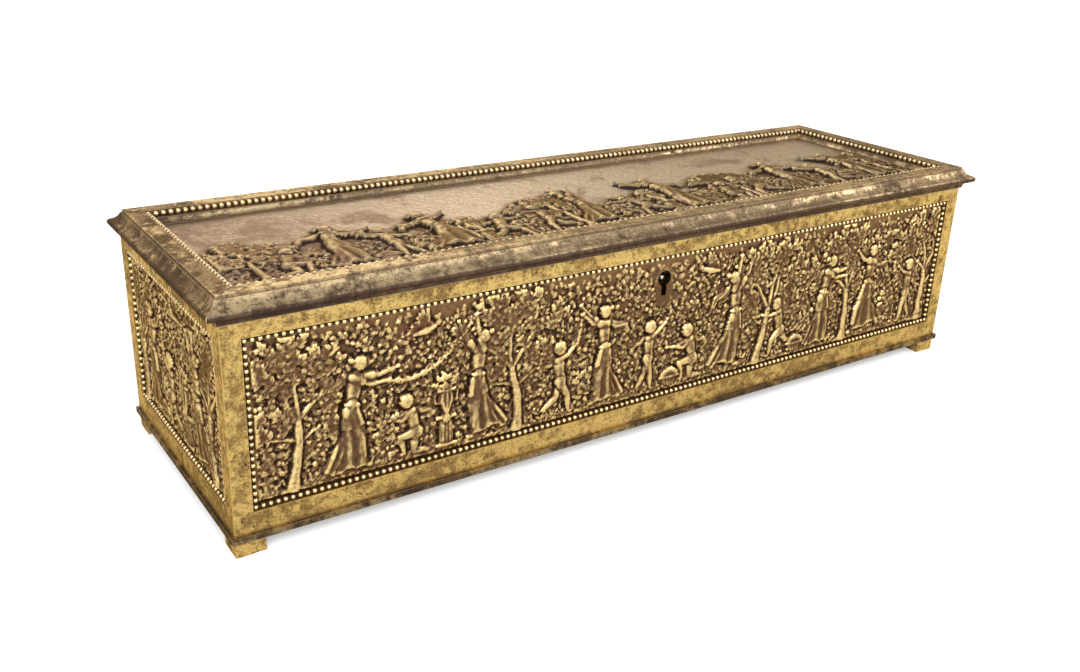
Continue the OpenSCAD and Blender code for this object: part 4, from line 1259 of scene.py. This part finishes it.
class Shader:
    """Builds one node material around a Principled surface, read in Object coordinates."""

    def __init__(self, name: str) -> None:
        """Starts the material.

        Args:
            name: Name of the material.
        """
        self.material = bpy.data.materials.new(name)
        self.material.use_nodes = True
        self.tree = self.material.node_tree
        self.surface = self.tree.nodes["Principled BSDF"]
        self.place = self.node("ShaderNodeTexCoord").outputs["Object"]

    def node(self, kind: str, **settings: object) -> bpy.types.Node:
        """Adds a node and sets its properties."""
        made = self.tree.nodes.new(kind)
        for key, value in settings.items():
            setattr(made, key, value)
        return made

    def feed(self, socket: bpy.types.NodeSocket, value: object) -> None:
        """Links a socket to an input, or writes a plain value into it."""
        if isinstance(value, bpy.types.NodeSocket):
            self.tree.links.new(value, socket)
        else:
            socket.default_value = (*value, 1.0) if isinstance(value, tuple) and len(value) == 3 and socket.type == "RGBA" else value

    def noise(self, scale: float, detail: float = 4.0, roughness: float = 0.55, stretch: Triple = (1, 1, 1),
              warp: float = 0.0) -> bpy.types.NodeSocket:
        """Adds a noise texture in cycles per metre.

        Args:
            scale: Cycles per metre.
            detail: Octaves.
            roughness: Share of each octave.
            stretch: Scale along each axis.
            warp: Distortion.

        Returns:
            The noise, from 0 to 1.
        """
        mapping = self.node("ShaderNodeMapping")
        self.feed(mapping.inputs["Vector"], self.place)
        mapping.inputs["Scale"].default_value = stretch
        tex = self.node("ShaderNodeTexNoise")
        self.feed(tex.inputs["Vector"], mapping.outputs["Vector"])
        for key, value in (("Scale", scale), ("Detail", detail), ("Roughness", roughness), ("Distortion", warp)):
            tex.inputs[key].default_value = value
        return tex.outputs["Fac"]

    def axis(self, name: str) -> bpy.types.NodeSocket:
        """Reads one object coordinate in metres."""
        made = self.node("ShaderNodeSeparateXYZ")
        self.feed(made.inputs[0], self.place)
        return made.outputs[name]

    def range(self, value: bpy.types.NodeSocket, low: float, high: float, to_low: float = 0.0, to_high: float = 1.0,
              smooth: bool = True) -> bpy.types.NodeSocket:
        """Maps low to to_low and high to to_high, held at the ends."""
        made = self.node("ShaderNodeMapRange", interpolation_type="SMOOTHSTEP" if smooth else "LINEAR", clamp=True)
        for key, number in (("From Min", low), ("From Max", high), ("To Min", to_low), ("To Max", to_high)):
            made.inputs[key].default_value = number
        self.feed(made.inputs["Value"], value)
        return made.outputs["Result"]

    def math(self, operation: str, a: object, b: object = 0.0, clamp: bool = False) -> bpy.types.NodeSocket:
        """Adds a math node."""
        made = self.node("ShaderNodeMath", operation=operation, use_clamp=clamp)
        self.feed(made.inputs[0], a)
        self.feed(made.inputs[1], b)
        return made.outputs[0]

    def mix(self, share: object, a: object, b: object, blend: str = "MIX") -> bpy.types.NodeSocket:
        """Mixes two colours."""
        made = self.node("ShaderNodeMix", data_type="RGBA", blend_type=blend)
        for socket, value in ((made.inputs["Factor"], share), (made.inputs[6], a), (made.inputs[7], b)):
            self.feed(socket, value)
        return made.outputs[2]

    def attribute(self, name: str) -> bpy.types.NodeSocket:
        """Reads a number that the mesh carries on its points."""
        return self.node("ShaderNodeAttribute", attribute_type="GEOMETRY", attribute_name=name).outputs["Fac"]

    def bump(self, height: object, distance: float, strength: float = 1.0, normal: object = None) -> bpy.types.NodeSocket:
        """Turns a height into a normal."""
        made = self.node("ShaderNodeBump")
        made.inputs["Strength"].default_value = strength
        made.inputs["Distance"].default_value = distance
        self.feed(made.inputs["Height"], height)
        if normal is not None:
            self.feed(made.inputs["Normal"], normal)
        return made.outputs["Normal"]

    def edge_wear(self, radius: float) -> bpy.types.NodeSocket:
        """Finds rubbed edges: 1 less the dot product of the true normal and one averaged over the radius."""
        round_ = self.node("ShaderNodeBevel", samples=6)
        round_.inputs["Radius"].default_value = radius
        true = self.node("ShaderNodeNewGeometry").outputs["Normal"]
        dot = self.node("ShaderNodeVectorMath", operation="DOT_PRODUCT")
        self.feed(dot.inputs[0], round_.outputs["Normal"])
        self.feed(dot.inputs[1], true)
        return self.math("SUBTRACT", 1.0, dot.outputs["Value"], clamp=True)

    def finish(self, colour: object, roughness: object, metallic: object, normal: object = None) -> bpy.types.Material:
        """Feeds the surface; a metal also keeps its tint along grazing rays.

        Args:
            colour: Colour or socket.
            roughness: Number or socket.
            metallic: Number or socket.
            normal: Socket, if any.

        Returns:
            The material.
        """
        self.feed(self.surface.inputs["Base Color"], colour)
        self.feed(self.surface.inputs["Roughness"], roughness)
        self.feed(self.surface.inputs["Metallic"], metallic)
        if metallic != 0.0:
            self.feed(self.surface.inputs["Specular Tint"], EDGE_TINT)
        if normal is not None:
            self.feed(self.surface.inputs["Normal"], normal)
        return self.material


@dataclass(frozen=True)
class GiltBronze:
    """Fire-gilt bronze of the frames: rubbed gold, mottled with grime and brown patina, with casting pits, and where
    set painted shade under the lid's nose and towards the left.

    Attributes:
        name: Name of the finish.
        bright: Colour of rubbed gilding.
        dull: Colour of gilding under grime.
        brown: Colour of the patina, also used for the painted shade under the lid's nose and towards the left.
        pits: Colour in pits and scratches.
        grime: Share of the surface under grime, from 0 to 1.
        rust: Share of the surface under patina, from 0 to 1.
        rough: Roughness of rubbed gilding.
        low: Level below which the lid's underside moulding gets painted shade, in metres, or 0.
        left_painted_shade: How much painted shade is laid on towards the left as extra patina, from 0 to 1.
        grain: Scale of the streaks along each axis.
    """

    name: str
    bright: Triple = (0.63, 0.435, 0.145)
    dull: Triple = (0.30, 0.19, 0.065)
    brown: Triple = (0.09, 0.047, 0.022)
    pits: Triple = (0.025, 0.015, 0.01)
    grime: float = 0.48
    rust: float = 0.14
    rough: float = 0.36
    low: float = 0.0
    left_painted_shade: float = 0.0
    grain: Triple = (0.25, 1, 1)

    def make(self) -> bpy.types.Material:
        """Layers the finish: gold, clouds and streaks of grime, fine mottling, patches of patina with painted shade
        towards the left, painted shade under the lid's nose, pits, rubbed edges.

        Returns:
            The material.
        """
        s = Shader(self.name)
        mottle, fine = s.noise(330, 5, 0.7), s.noise(1300, 3, 0.6)
        broad = s.math("MULTIPLY", s.noise(30, 6, 0.62, (1, 1.6, 1.6), 0.4), 0.35)
        streaks = s.math("MULTIPLY", s.noise(150, 4, 0.6, self.grain), 0.25)
        tone = s.math("ADD", s.math("ADD", broad, streaks), s.math("MULTIPLY", mottle, 0.4))
        grime = s.range(tone, 0.555 - 0.2 * self.grime, 0.655 - 0.2 * self.grime)
        colour = s.mix(grime, self.bright, self.dull)
        speck = s.range(s.math("ADD", s.math("MULTIPLY", fine, 0.75), s.math("MULTIPLY", mottle, 0.25)), 0.47, 0.6)
        colour = s.mix(s.math("MULTIPLY", speck, 0.5), colour, self.brown)
        spread = s.math("ADD", s.math("MULTIPLY", s.noise(62, 7, 0.7, (1, 1, 1), 0.6), 0.7), s.math("MULTIPLY", mottle, 0.3))
        # Painted shade towards the left: the patina patches spread further there.
        spread = s.math("ADD", spread, s.math("MULTIPLY", s.range(s.axis("X"), -0.05, -0.16), 0.07 * self.left_painted_shade))
        patch = s.range(spread, 0.60 - 0.2 * self.rust, 0.70 - 0.2 * self.rust)
        colour = s.mix(s.math("MULTIPLY", patch, 0.72), colour, self.brown)
        if self.low:
            # Painted shade: below the level, the lid's underside moulding is darkened towards the patina colour.
            painted_underside_shade = s.range(s.axis("Z"), self.low + 0.0008, self.low - 0.0004, 0.0, 0.84)
            colour = s.mix(painted_underside_shade, colour, self.brown)
        pits = s.math("MULTIPLY", s.range(s.noise(900, 3, 0.5), 0.64, 0.72), s.range(s.noise(110, 3), 0.4, 0.58))
        colour = s.mix(s.math("MULTIPLY", pits, 0.9), colour, self.pits)
        wear = s.range(s.edge_wear(0.0005), 0.02, 0.18)
        colour = s.mix(s.math("MULTIPLY", wear, s.range(mottle, 0.36, 0.56, 0.25, 0.85)), colour, self.bright)
        rough = s.range(s.math("ADD", patch, s.math("ADD", grime, s.math("MULTIPLY", speck, 0.6))), 0.0, 2.0, self.rough, 0.7)
        height = s.math("SUBTRACT", s.math("MULTIPLY", mottle, 0.8), s.math("MULTIPLY", pits, 0.7))
        normal = s.bump(s.math("ADD", height, s.math("MULTIPLY", fine, 0.4)), 0.00024, 0.6)
        return s.finish(colour, rough, 1.0, normal)


@dataclass(frozen=True)
class ReliefBronze:
    """Cast relief: dark brown patina in its hollows and among its plants, which also stands in for their shade, rubbed
    gold on its heights.

    Attributes:
        name: Name of the finish.
        high: Colour of rubbed heights.
        ground: Colour of the ground among the plants.
        sky: Colour of bare ground.
        deep: Colour in the hollows: patina, also painting their shade.
        tint: Colour of the patches in the patina, and of the painted shade towards the left.
        tinted: Share of the surface under patches.
        left_painted_shade: How much painted shade is laid on towards the left as tint, from 0 to 1.
    """

    name: str
    high: Triple = (0.84, 0.62, 0.27)
    ground: Triple = (0.15, 0.083, 0.04)
    sky: Triple = (0.22, 0.125, 0.055)
    deep: Triple = (0.02, 0.011, 0.008)
    tint: Triple = (0.15, 0.062, 0.036)
    tinted: float = 0.35
    left_painted_shade: float = 0.0

    def make(self) -> bpy.types.Material:
        """Colours each point by how hollow, high and crowded it is, broken up by noise, under patches of patina; the
        dark hollows are patina and painted shade at once, and painted shade lies towards the left where set.
        """
        s = Shader(self.name)
        hollow, rise, crowd = (s.attribute(name) for name in ("hollow", "rise", "crowd"))
        fine = s.noise(1200, 4, 0.65)
        wander = s.math("MULTIPLY", s.math("SUBTRACT", s.noise(260, 5, 0.65), 0.5), 0.4)
        level = s.math("ADD", hollow, wander)
        busy = s.range(s.math("ADD", crowd, wander), 0.05, 0.4)
        colour = s.mix(busy, self.sky, self.ground)
        # Patches of patina, which spread further towards the left as painted shade.
        spread = s.math("ADD", s.noise(45, 6, 0.65, (1, 1, 1), 0.5),
                        s.math("MULTIPLY", s.range(s.axis("X"), -0.05, -0.15), 0.1 * self.left_painted_shade))
        patch = s.math("MULTIPLY", s.range(spread, 0.62 - 0.25 * self.tinted, 0.76 - 0.25 * self.tinted), 0.65)
        colour = s.mix(patch, colour, self.tint)
        # Painted shade towards the left, in the tint colour.
        if self.left_painted_shade:
            colour = s.mix(s.range(s.axis("X"), -0.02, -0.15, 0.0, 0.5 * self.left_painted_shade), colour, self.tint)
        rubbed = s.math("MULTIPLY", s.range(level, 0.0, -0.28), s.range(rise, 0.15, 1.0, 0.45, 1.0))
        colour = s.mix(rubbed, colour, self.high)
        # Patina in the hollows, deepest among the plants, which also paints the shade that falls there.
        dark = s.math("MULTIPLY", s.range(level, 0.02, 0.3), s.range(busy, 0.0, 0.5, 0.3, 1.0))
        colour = s.mix(s.math("MULTIPLY", dark, 0.95), colour, self.deep)
        colour = s.mix(s.range(fine, 0.42, 0.66, 0.0, 0.4), colour, self.deep)
        rough = s.range(s.math("ADD", dark, s.math("MULTIPLY", patch, 0.6)), 0.0, 1.2, 0.38, 0.75)
        normal = s.bump(s.math("ADD", fine, s.noise(240, 4, 0.6)), 0.00016, 0.5)
        return s.finish(colour, rough, s.range(dark, 0, 1, 1.0, 0.9), normal)


@dataclass(frozen=True)
class PearlGilt:
    """Rubbed gilding of the pearls, with dark grime on the wire between them that also stands in for the shade there.

    Attributes:
        name: Name of the finish.
        bright: Colour of the pearls.
        dull: Colour of pearls under grime.
        dark: Colour of the wire and of the pearls' feet: grime and painted shade.
    """

    name: str
    bright: Triple = (0.84, 0.66, 0.35)
    dull: Triple = (0.42, 0.29, 0.13)
    dark: Triple = (0.035, 0.02, 0.012)

    def make(self) -> bpy.types.Material:
        """Mixes gold and grime by a noise a few pearls wide, and darkens what lies close to the wire with grime and
        painted shade.
        """
        s = Shader(self.name)
        crown = s.range(s.attribute("crown"), 0.1, 0.7)
        tone = s.math("ADD", s.math("MULTIPLY", s.noise(140, 5, 0.6), 0.6), s.math("MULTIPLY", s.noise(900, 3), 0.4))
        colour = s.mix(s.math("MULTIPLY", s.range(tone, 0.48, 0.64), 0.8), self.bright, self.dull)
        # Grime on the wire and the pearls' feet, which also paints the shade between the pearls.
        colour = s.mix(crown, self.dark, colour)
        return s.finish(colour, s.range(crown, 0, 1, 0.8, 0.4), s.range(crown, 0, 1, 0.3, 1.0), s.bump(s.noise(900, 3), 0.0001, 0.4))


@dataclass(frozen=True)
class WornSteel:
    """Darkened steel of screws, bolt and pin."""

    name: str
    bright: Triple = (0.42, 0.40, 0.37)
    dark: Triple = (0.09, 0.07, 0.055)

    def make(self) -> bpy.types.Material:
        """Mixes steel and tarnish, with fine scratches along X."""
        s = Shader(self.name)
        tarnish = s.range(s.noise(160, 6, 0.65), 0.42, 0.66)
        colour = s.mix(s.math("MULTIPLY", tarnish, 0.75), self.bright, self.dark)
        scratch = s.noise(1500, 3, 0.6, (0.05, 1, 1))
        return s.finish(colour, s.range(tarnish, 0, 1, 0.3, 0.6), 1.0, s.bump(scratch, 0.00006, 0.4))


@dataclass(frozen=True)
class Velvet:
    """Wine-red cotton velvet with a brushed pile."""

    name: str
    pile: Triple = (0.12, 0.009, 0.017)
    shade: Triple = (0.065, 0.005, 0.010)
    glow: Triple = (0.62, 0.12, 0.16)

    def make(self) -> bpy.types.Material:
        """Lays dark and light brushed patches over a fine pile, with sheen along grazing rays."""
        s = Shader(self.name)
        brushed = s.range(s.noise(45, 5, 0.6, (1, 1.7, 1), 0.8), 0.38, 0.64)
        pile = s.noise(2600, 2, 0.5)
        colour = s.mix(brushed, self.shade, self.pile)
        colour = s.mix(s.range(pile, 0.35, 0.65, 0.0, 0.45), colour, self.shade)
        s.surface.inputs["Sheen Weight"].default_value = 0.8
        s.surface.inputs["Sheen Roughness"].default_value = 0.35
        s.surface.inputs["Sheen Tint"].default_value = (*self.glow, 1.0)
        return s.finish(colour, s.range(brushed, 0, 1, 0.95, 0.8), 0.0, s.bump(s.math("ADD", pile, brushed), 0.00012, 0.6))


@dataclass(frozen=True)
class StainedBoard:
    """Thin stained board behind the lid's relief."""

    name: str
    light: Triple = (0.22, 0.12, 0.055)
    dark: Triple = (0.08, 0.04, 0.02)

    def make(self) -> bpy.types.Material:
        """Runs the grain along X: a noise stretched twenty times, over fainter pores."""
        s = Shader(self.name)
        grain = s.noise(160, 6, 0.65, (0.05, 1, 1), 0.5)
        pores = s.range(s.noise(1800, 2, 0.5, (0.04, 1, 1)), 0.55, 0.7)
        colour = s.mix(s.math("MULTIPLY", pores, 0.6), s.mix(s.range(grain, 0.35, 0.65), self.light, self.dark), self.dark)
        return s.finish(colour, s.range(grain, 0.3, 0.7, 0.5, 0.7), 0.0, s.bump(grain, 0.0002, 0.4))


class Metal(Enum):
    """Gilt finishes of the box's parts; the lid's left and right rails and the base plate wear darker copies that paint
    their shade.
    """

    WALLS = GiltBronze("gilt_walls")
    # The lid's gilt paints shade on its underside moulding below 76.5 mm and towards the left.
    LID = GiltBronze("gilt_lid", (0.48, 0.365, 0.21), (0.22, 0.158, 0.096), (0.065, 0.04, 0.03), (0.03, 0.02, 0.016),
                     0.62, 0.34, 0.36, 0.0765, 1.0, (0.12, 1, 1))
    # Painted shade: a darker copy of the lid's gilt, with more grime, for the left and right rails. Its streaks run
    # along Y, and it also paints shade under its nose and towards the left.
    LID_ENDS_SHADED = GiltBronze("gilt_lid_ends_shaded", (0.46, 0.34, 0.195), (0.20, 0.14, 0.083), (0.055, 0.034, 0.026),
                          (0.03, 0.02, 0.016), 0.7, 0.34, 0.36, 0.0765, 1.0, (1, 0.12, 1))
    # Painted shade: a dark copy of the gilt for the base plate that stands in for the shade under the box, with heavy
    # grime and patina.
    BASE_SHADED = GiltBronze("gilt_base_shaded", (0.30, 0.22, 0.11), (0.11, 0.075, 0.042), (0.04, 0.027, 0.019), (0.02, 0.012, 0.008),
                      0.6, 0.6, 0.42)
    BRASS = GiltBronze("rubbed_brass", (0.74, 0.54, 0.23), (0.46, 0.32, 0.14), (0.16, 0.1, 0.05), (0.05, 0.03, 0.02),
                       0.35, 0.15, 0.3)


@dataclass(frozen=True)
class Dressing:
    """One finish and the plain nodes that wear it.

    Attributes:
        finish: The finish.
        nodes: Names of the nodes.
    """

    finish: GiltBronze | WornSteel | Velvet | StainedBoard
    nodes: tuple[str, ...]

    def apply(self, frame: dict) -> None:
        """Gives every node the finish's material in all its slots."""
        material = self.finish.make()
        for name in self.nodes:
            dress(frame["nodes"][name], material)
        LOG.info("%s on %d nodes", material.name, len(self.nodes))


def dress(piece: bpy.types.Object, material: bpy.types.Material) -> None:
    """Puts one material into every slot of a piece."""
    if not piece.material_slots:
        piece.data.materials.append(material)
    for slot in piece.material_slots:
        slot.material = material


@dataclass
class WallReliefs:
    """The four relief plates of the walls, each in its pearl border."""

    finish: ReliefBronze = ReliefBronze("relief_walls")
    pearls: PearlGilt = PearlGilt("gilt_pearls")

    def build(self) -> None:
        """Builds and dresses the four plates and borders."""
        relief, gilt = self.finish.make(), self.pearls.make()
        sides = {
            "front": ((1, 0, 0), FRONT_FRIEZE), "back": ((-1, 0, 0), BACK_FRIEZE),
            "left": ((0, -1, 0), LEFT_FRIEZE), "right": ((0, 1, 0), RIGHT_FRIEZE)}
        for side, (right, frieze) in sides.items():
            key = (0.0, self.key_level()) if side == "front" else None
            plate = ReliefPlate(side + "_panel", "case", right, (0, 0, 1), frieze.compose, keyhole=key)
            dress(plate.build(), relief)
            border = PearlBorder(side + "_pearls", "case", right, (0, 0, 1))
            dress(border.crown(border.build()), gilt)

    def key_level(self) -> float:
        """Height of the keyhole's round part over the plate's middle, in millimetres, from the drill pin's place."""
        pin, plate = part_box("drill_pin"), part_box("front_panel")
        return float((pin[0][2] + pin[1][2] - plate[0][2] - plate[1][2]) / 2 / MM)


@dataclass
class LidRelief:
    """The relief plate of the lid and the pearls on the step round it."""

    # The lid's relief paints shade towards the left.
    finish: ReliefBronze = ReliefBronze("relief_lid", (0.35, 0.26, 0.145), (0.08, 0.054, 0.038), (0.44, 0.37, 0.29),
                                        (0.03, 0.019, 0.014), (0.13, 0.085, 0.07), 0.4, 1.0)
    pearls: PearlGilt = PearlGilt("gilt_lid_pearls", (0.66, 0.52, 0.3), (0.3, 0.21, 0.12))

    def build(self) -> None:
        """Builds and dresses the plate and its border."""
        plate = ReliefPlate("lid_panel", "lid", (1, 0, 0), (0, 1, 0), LID_FRIEZE.compose, 1.3)
        border = PearlBorder("lid_pearls", "lid", (1, 0, 0), (0, 1, 0), 0.95, 2.4)
        dress(plate.build(), self.finish.make())
        dress(border.crown(border.build()), self.pearls.make())


@dataclass
class Interior:
    """The velvet inside: boards round the walls, and crowned pads on the floor and under the lid."""

    finish: Velvet = Velvet("wine_velvet")

    def build(self, frame: dict) -> None:
        """Builds the pads and covers the boards."""
        velvet = self.finish.make()
        for name in ("front_lining", "back_lining", "left_lining", "right_lining"):
            dress(frame["nodes"][name], velvet)
        dress(VelvetPad("floor_pad", "case").build(), velvet)
        dress(VelvetPad("lid_pad", "lid", under=True, edge=0.8).build(), velvet)


@dataclass
class Metalwork:
    """The plain metal parts: frames, base, lid mouldings, hinge, lock and screws."""

    def build(self, frame: dict) -> None:
        """Dresses every plain node."""
        sides = ("front", "back", "left", "right")
        corners = ("front_left_foot", "front_right_foot", "back_left_foot", "back_right_foot")
        for dressing in (
                Dressing(Metal.WALLS.value, (*(side + "_frame" for side in sides), *corners)),
                Dressing(Metal.BASE_SHADED.value, ("base_plate",)),
                Dressing(Metal.LID.value, ("lid_front_rail", "lid_back_rail")),
                Dressing(Metal.LID_ENDS_SHADED.value, ("lid_left_rail", "lid_right_rail")),
                Dressing(Metal.BRASS.value, ("hinge_body_leaf", "hinge_lid_leaf", "lock_case", "lock_plate", "lock_striker",
                                             "corner_angles", "base_screws")),
                Dressing(WornSteel("worn_steel"), ("hinge_pin", "lock_bolt", "lock_spring", "drill_pin", "lock_screws",
                                                   "foot_screws", "hinge_body_screws", "hinge_lid_screws", "striker_screws")),
                Dressing(StainedBoard("stained_board"), ("lid_board",))):
            dressing.apply(frame)


@dataclass
class Studio:
    """Pale floor, white surround, soft lamps, and the camera.

    Attributes:
        eye: Place of the camera.
        target: Point on its axis.
        roll: Roll of the camera in degrees.
        lens: Focal length for a sensor 36 mm wide.
        shift: Vertical shift of the frame, as a share of its width.
    """

    eye: Triple = (-0.23666, -0.31607, 0.18370)
    target: Triple = (-0.0005, 0.0253, 0.01755)
    roll: float = 2.07
    lens: float = 36.6
    shift: float = -0.0150
    world_light: float = 0.62

    def camera(self) -> None:
        """Places the camera: its back points from target to eye, and its right and up are turned by the roll."""
        back = (Vector(self.eye) - Vector(self.target)).normalized()
        right = Vector((0, 0, 1)).cross(back).normalized()
        up = back.cross(right)
        a = math.radians(self.roll)
        x, y = right * math.cos(a) + up * math.sin(a), up * math.cos(a) - right * math.sin(a)
        data = bpy.data.cameras.new("camera")
        data.lens, data.sensor_width, data.shift_y = self.lens, 36.0, self.shift
        data.clip_start, data.clip_end = 0.01, 20.0
        camera = bpy.data.objects.new("camera", data)
        camera.matrix_world = Matrix((x, y, back)).transposed().to_4x4()
        camera.matrix_world.translation = self.eye
        bpy.context.scene.collection.objects.link(camera)
        bpy.context.scene.camera = camera

    def lamp(self, name: str, place: Triple, size: Point, power: float, aim: Triple = (0, 0, 0.04)) -> None:
        """Hangs a rectangular soft lamp that looks at the box."""
        data = bpy.data.lights.new(name, "AREA")
        data.shape, data.size, data.size_y, data.energy = "RECTANGLE", *size, power
        lamp = bpy.data.objects.new(name, data)
        lamp.location = place
        lamp.rotation_euler = (Vector(place) - Vector(aim)).to_track_quat("Z", "Y").to_euler()
        bpy.context.scene.collection.objects.link(lamp)

    def world(self) -> None:
        """Lights the scene evenly, and shows white to camera, mirror and glass rays."""
        world = bpy.data.worlds.new("surround")
        bpy.context.scene.world = world
        world.use_nodes = True
        tree = world.node_tree
        background = tree.nodes["Background"]
        background.inputs["Color"].default_value = (1.0, 0.99, 0.97, 1.0)
        path = tree.nodes.new("ShaderNodeLightPath")
        seen = tree.nodes.new("ShaderNodeMapRange")
        seen.inputs["To Min"].default_value = self.world_light
        seen.inputs["To Max"].default_value = 1.0
        shown = path.outputs["Is Camera Ray"]
        for kind in ("Is Glossy Ray", "Is Transmission Ray"):
            either = tree.nodes.new("ShaderNodeMath")
            either.operation = "MAXIMUM"
            tree.links.new(shown, either.inputs[0])
            tree.links.new(path.outputs[kind], either.inputs[1])
            shown = either.outputs[0]
        tree.links.new(shown, seen.inputs["Value"])
        tree.links.new(seen.outputs["Result"], background.inputs["Strength"])

    def floor(self) -> None:
        """Lays a white floor far past the camera's view; camera rays see it lifted to white where it is lit."""
        x, y = np.meshgrid([-6.0, 6.0], [-6.0, 6.0])
        verts = np.stack([x.ravel(), y.ravel(), np.full(4, -0.00001)], 1)
        floor = new_mesh_object("floor", verts, np.array([[0, 1, 3, 2]]), smooth=False)
        s = Shader("white_floor")
        s.surface.inputs["Emission Color"].default_value = (1.0, 1.0, 1.0, 1.0)
        seen = s.node("ShaderNodeLightPath").outputs["Is Camera Ray"]
        far = s.node("ShaderNodeVectorMath", operation="LENGTH")
        s.feed(far.inputs[0], s.place)
        glow = s.range(far.outputs["Value"], 0.7, 2.5, 0.32, 0.9)
        s.feed(s.surface.inputs["Emission Strength"], s.math("MULTIPLY", seen, glow))
        tone = s.mix(s.noise(3, 2), (0.80, 0.80, 0.80), (0.82, 0.82, 0.82))
        dress(floor, s.finish(tone, 0.9, 0.0))

    def build(self) -> None:
        """Sets up camera, world, floor and lamps."""
        self.camera()
        self.world()
        self.floor()
        self.lamp("key", (-0.9, -1.5, 1.3), (1.4, 1.0), 42)
        self.lamp("fill", (1.3, -0.9, 0.9), (1.2, 0.9), 14)
        self.lamp("rim", (0.2, 1.4, 1.2), (1.6, 0.8), 14)
        bpy.context.scene.view_settings.view_transform = "Standard"


def main() -> None:
    """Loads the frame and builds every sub-assembly in order."""
    logging.basicConfig(level=logging.INFO, format="%(name)s: %(message)s")
    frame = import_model()
    Studio().build()
    Metalwork().build(frame)
    WallReliefs().build()
    LidRelief().build()
    Interior().build(frame)


if __name__ == "__main__":
    main()
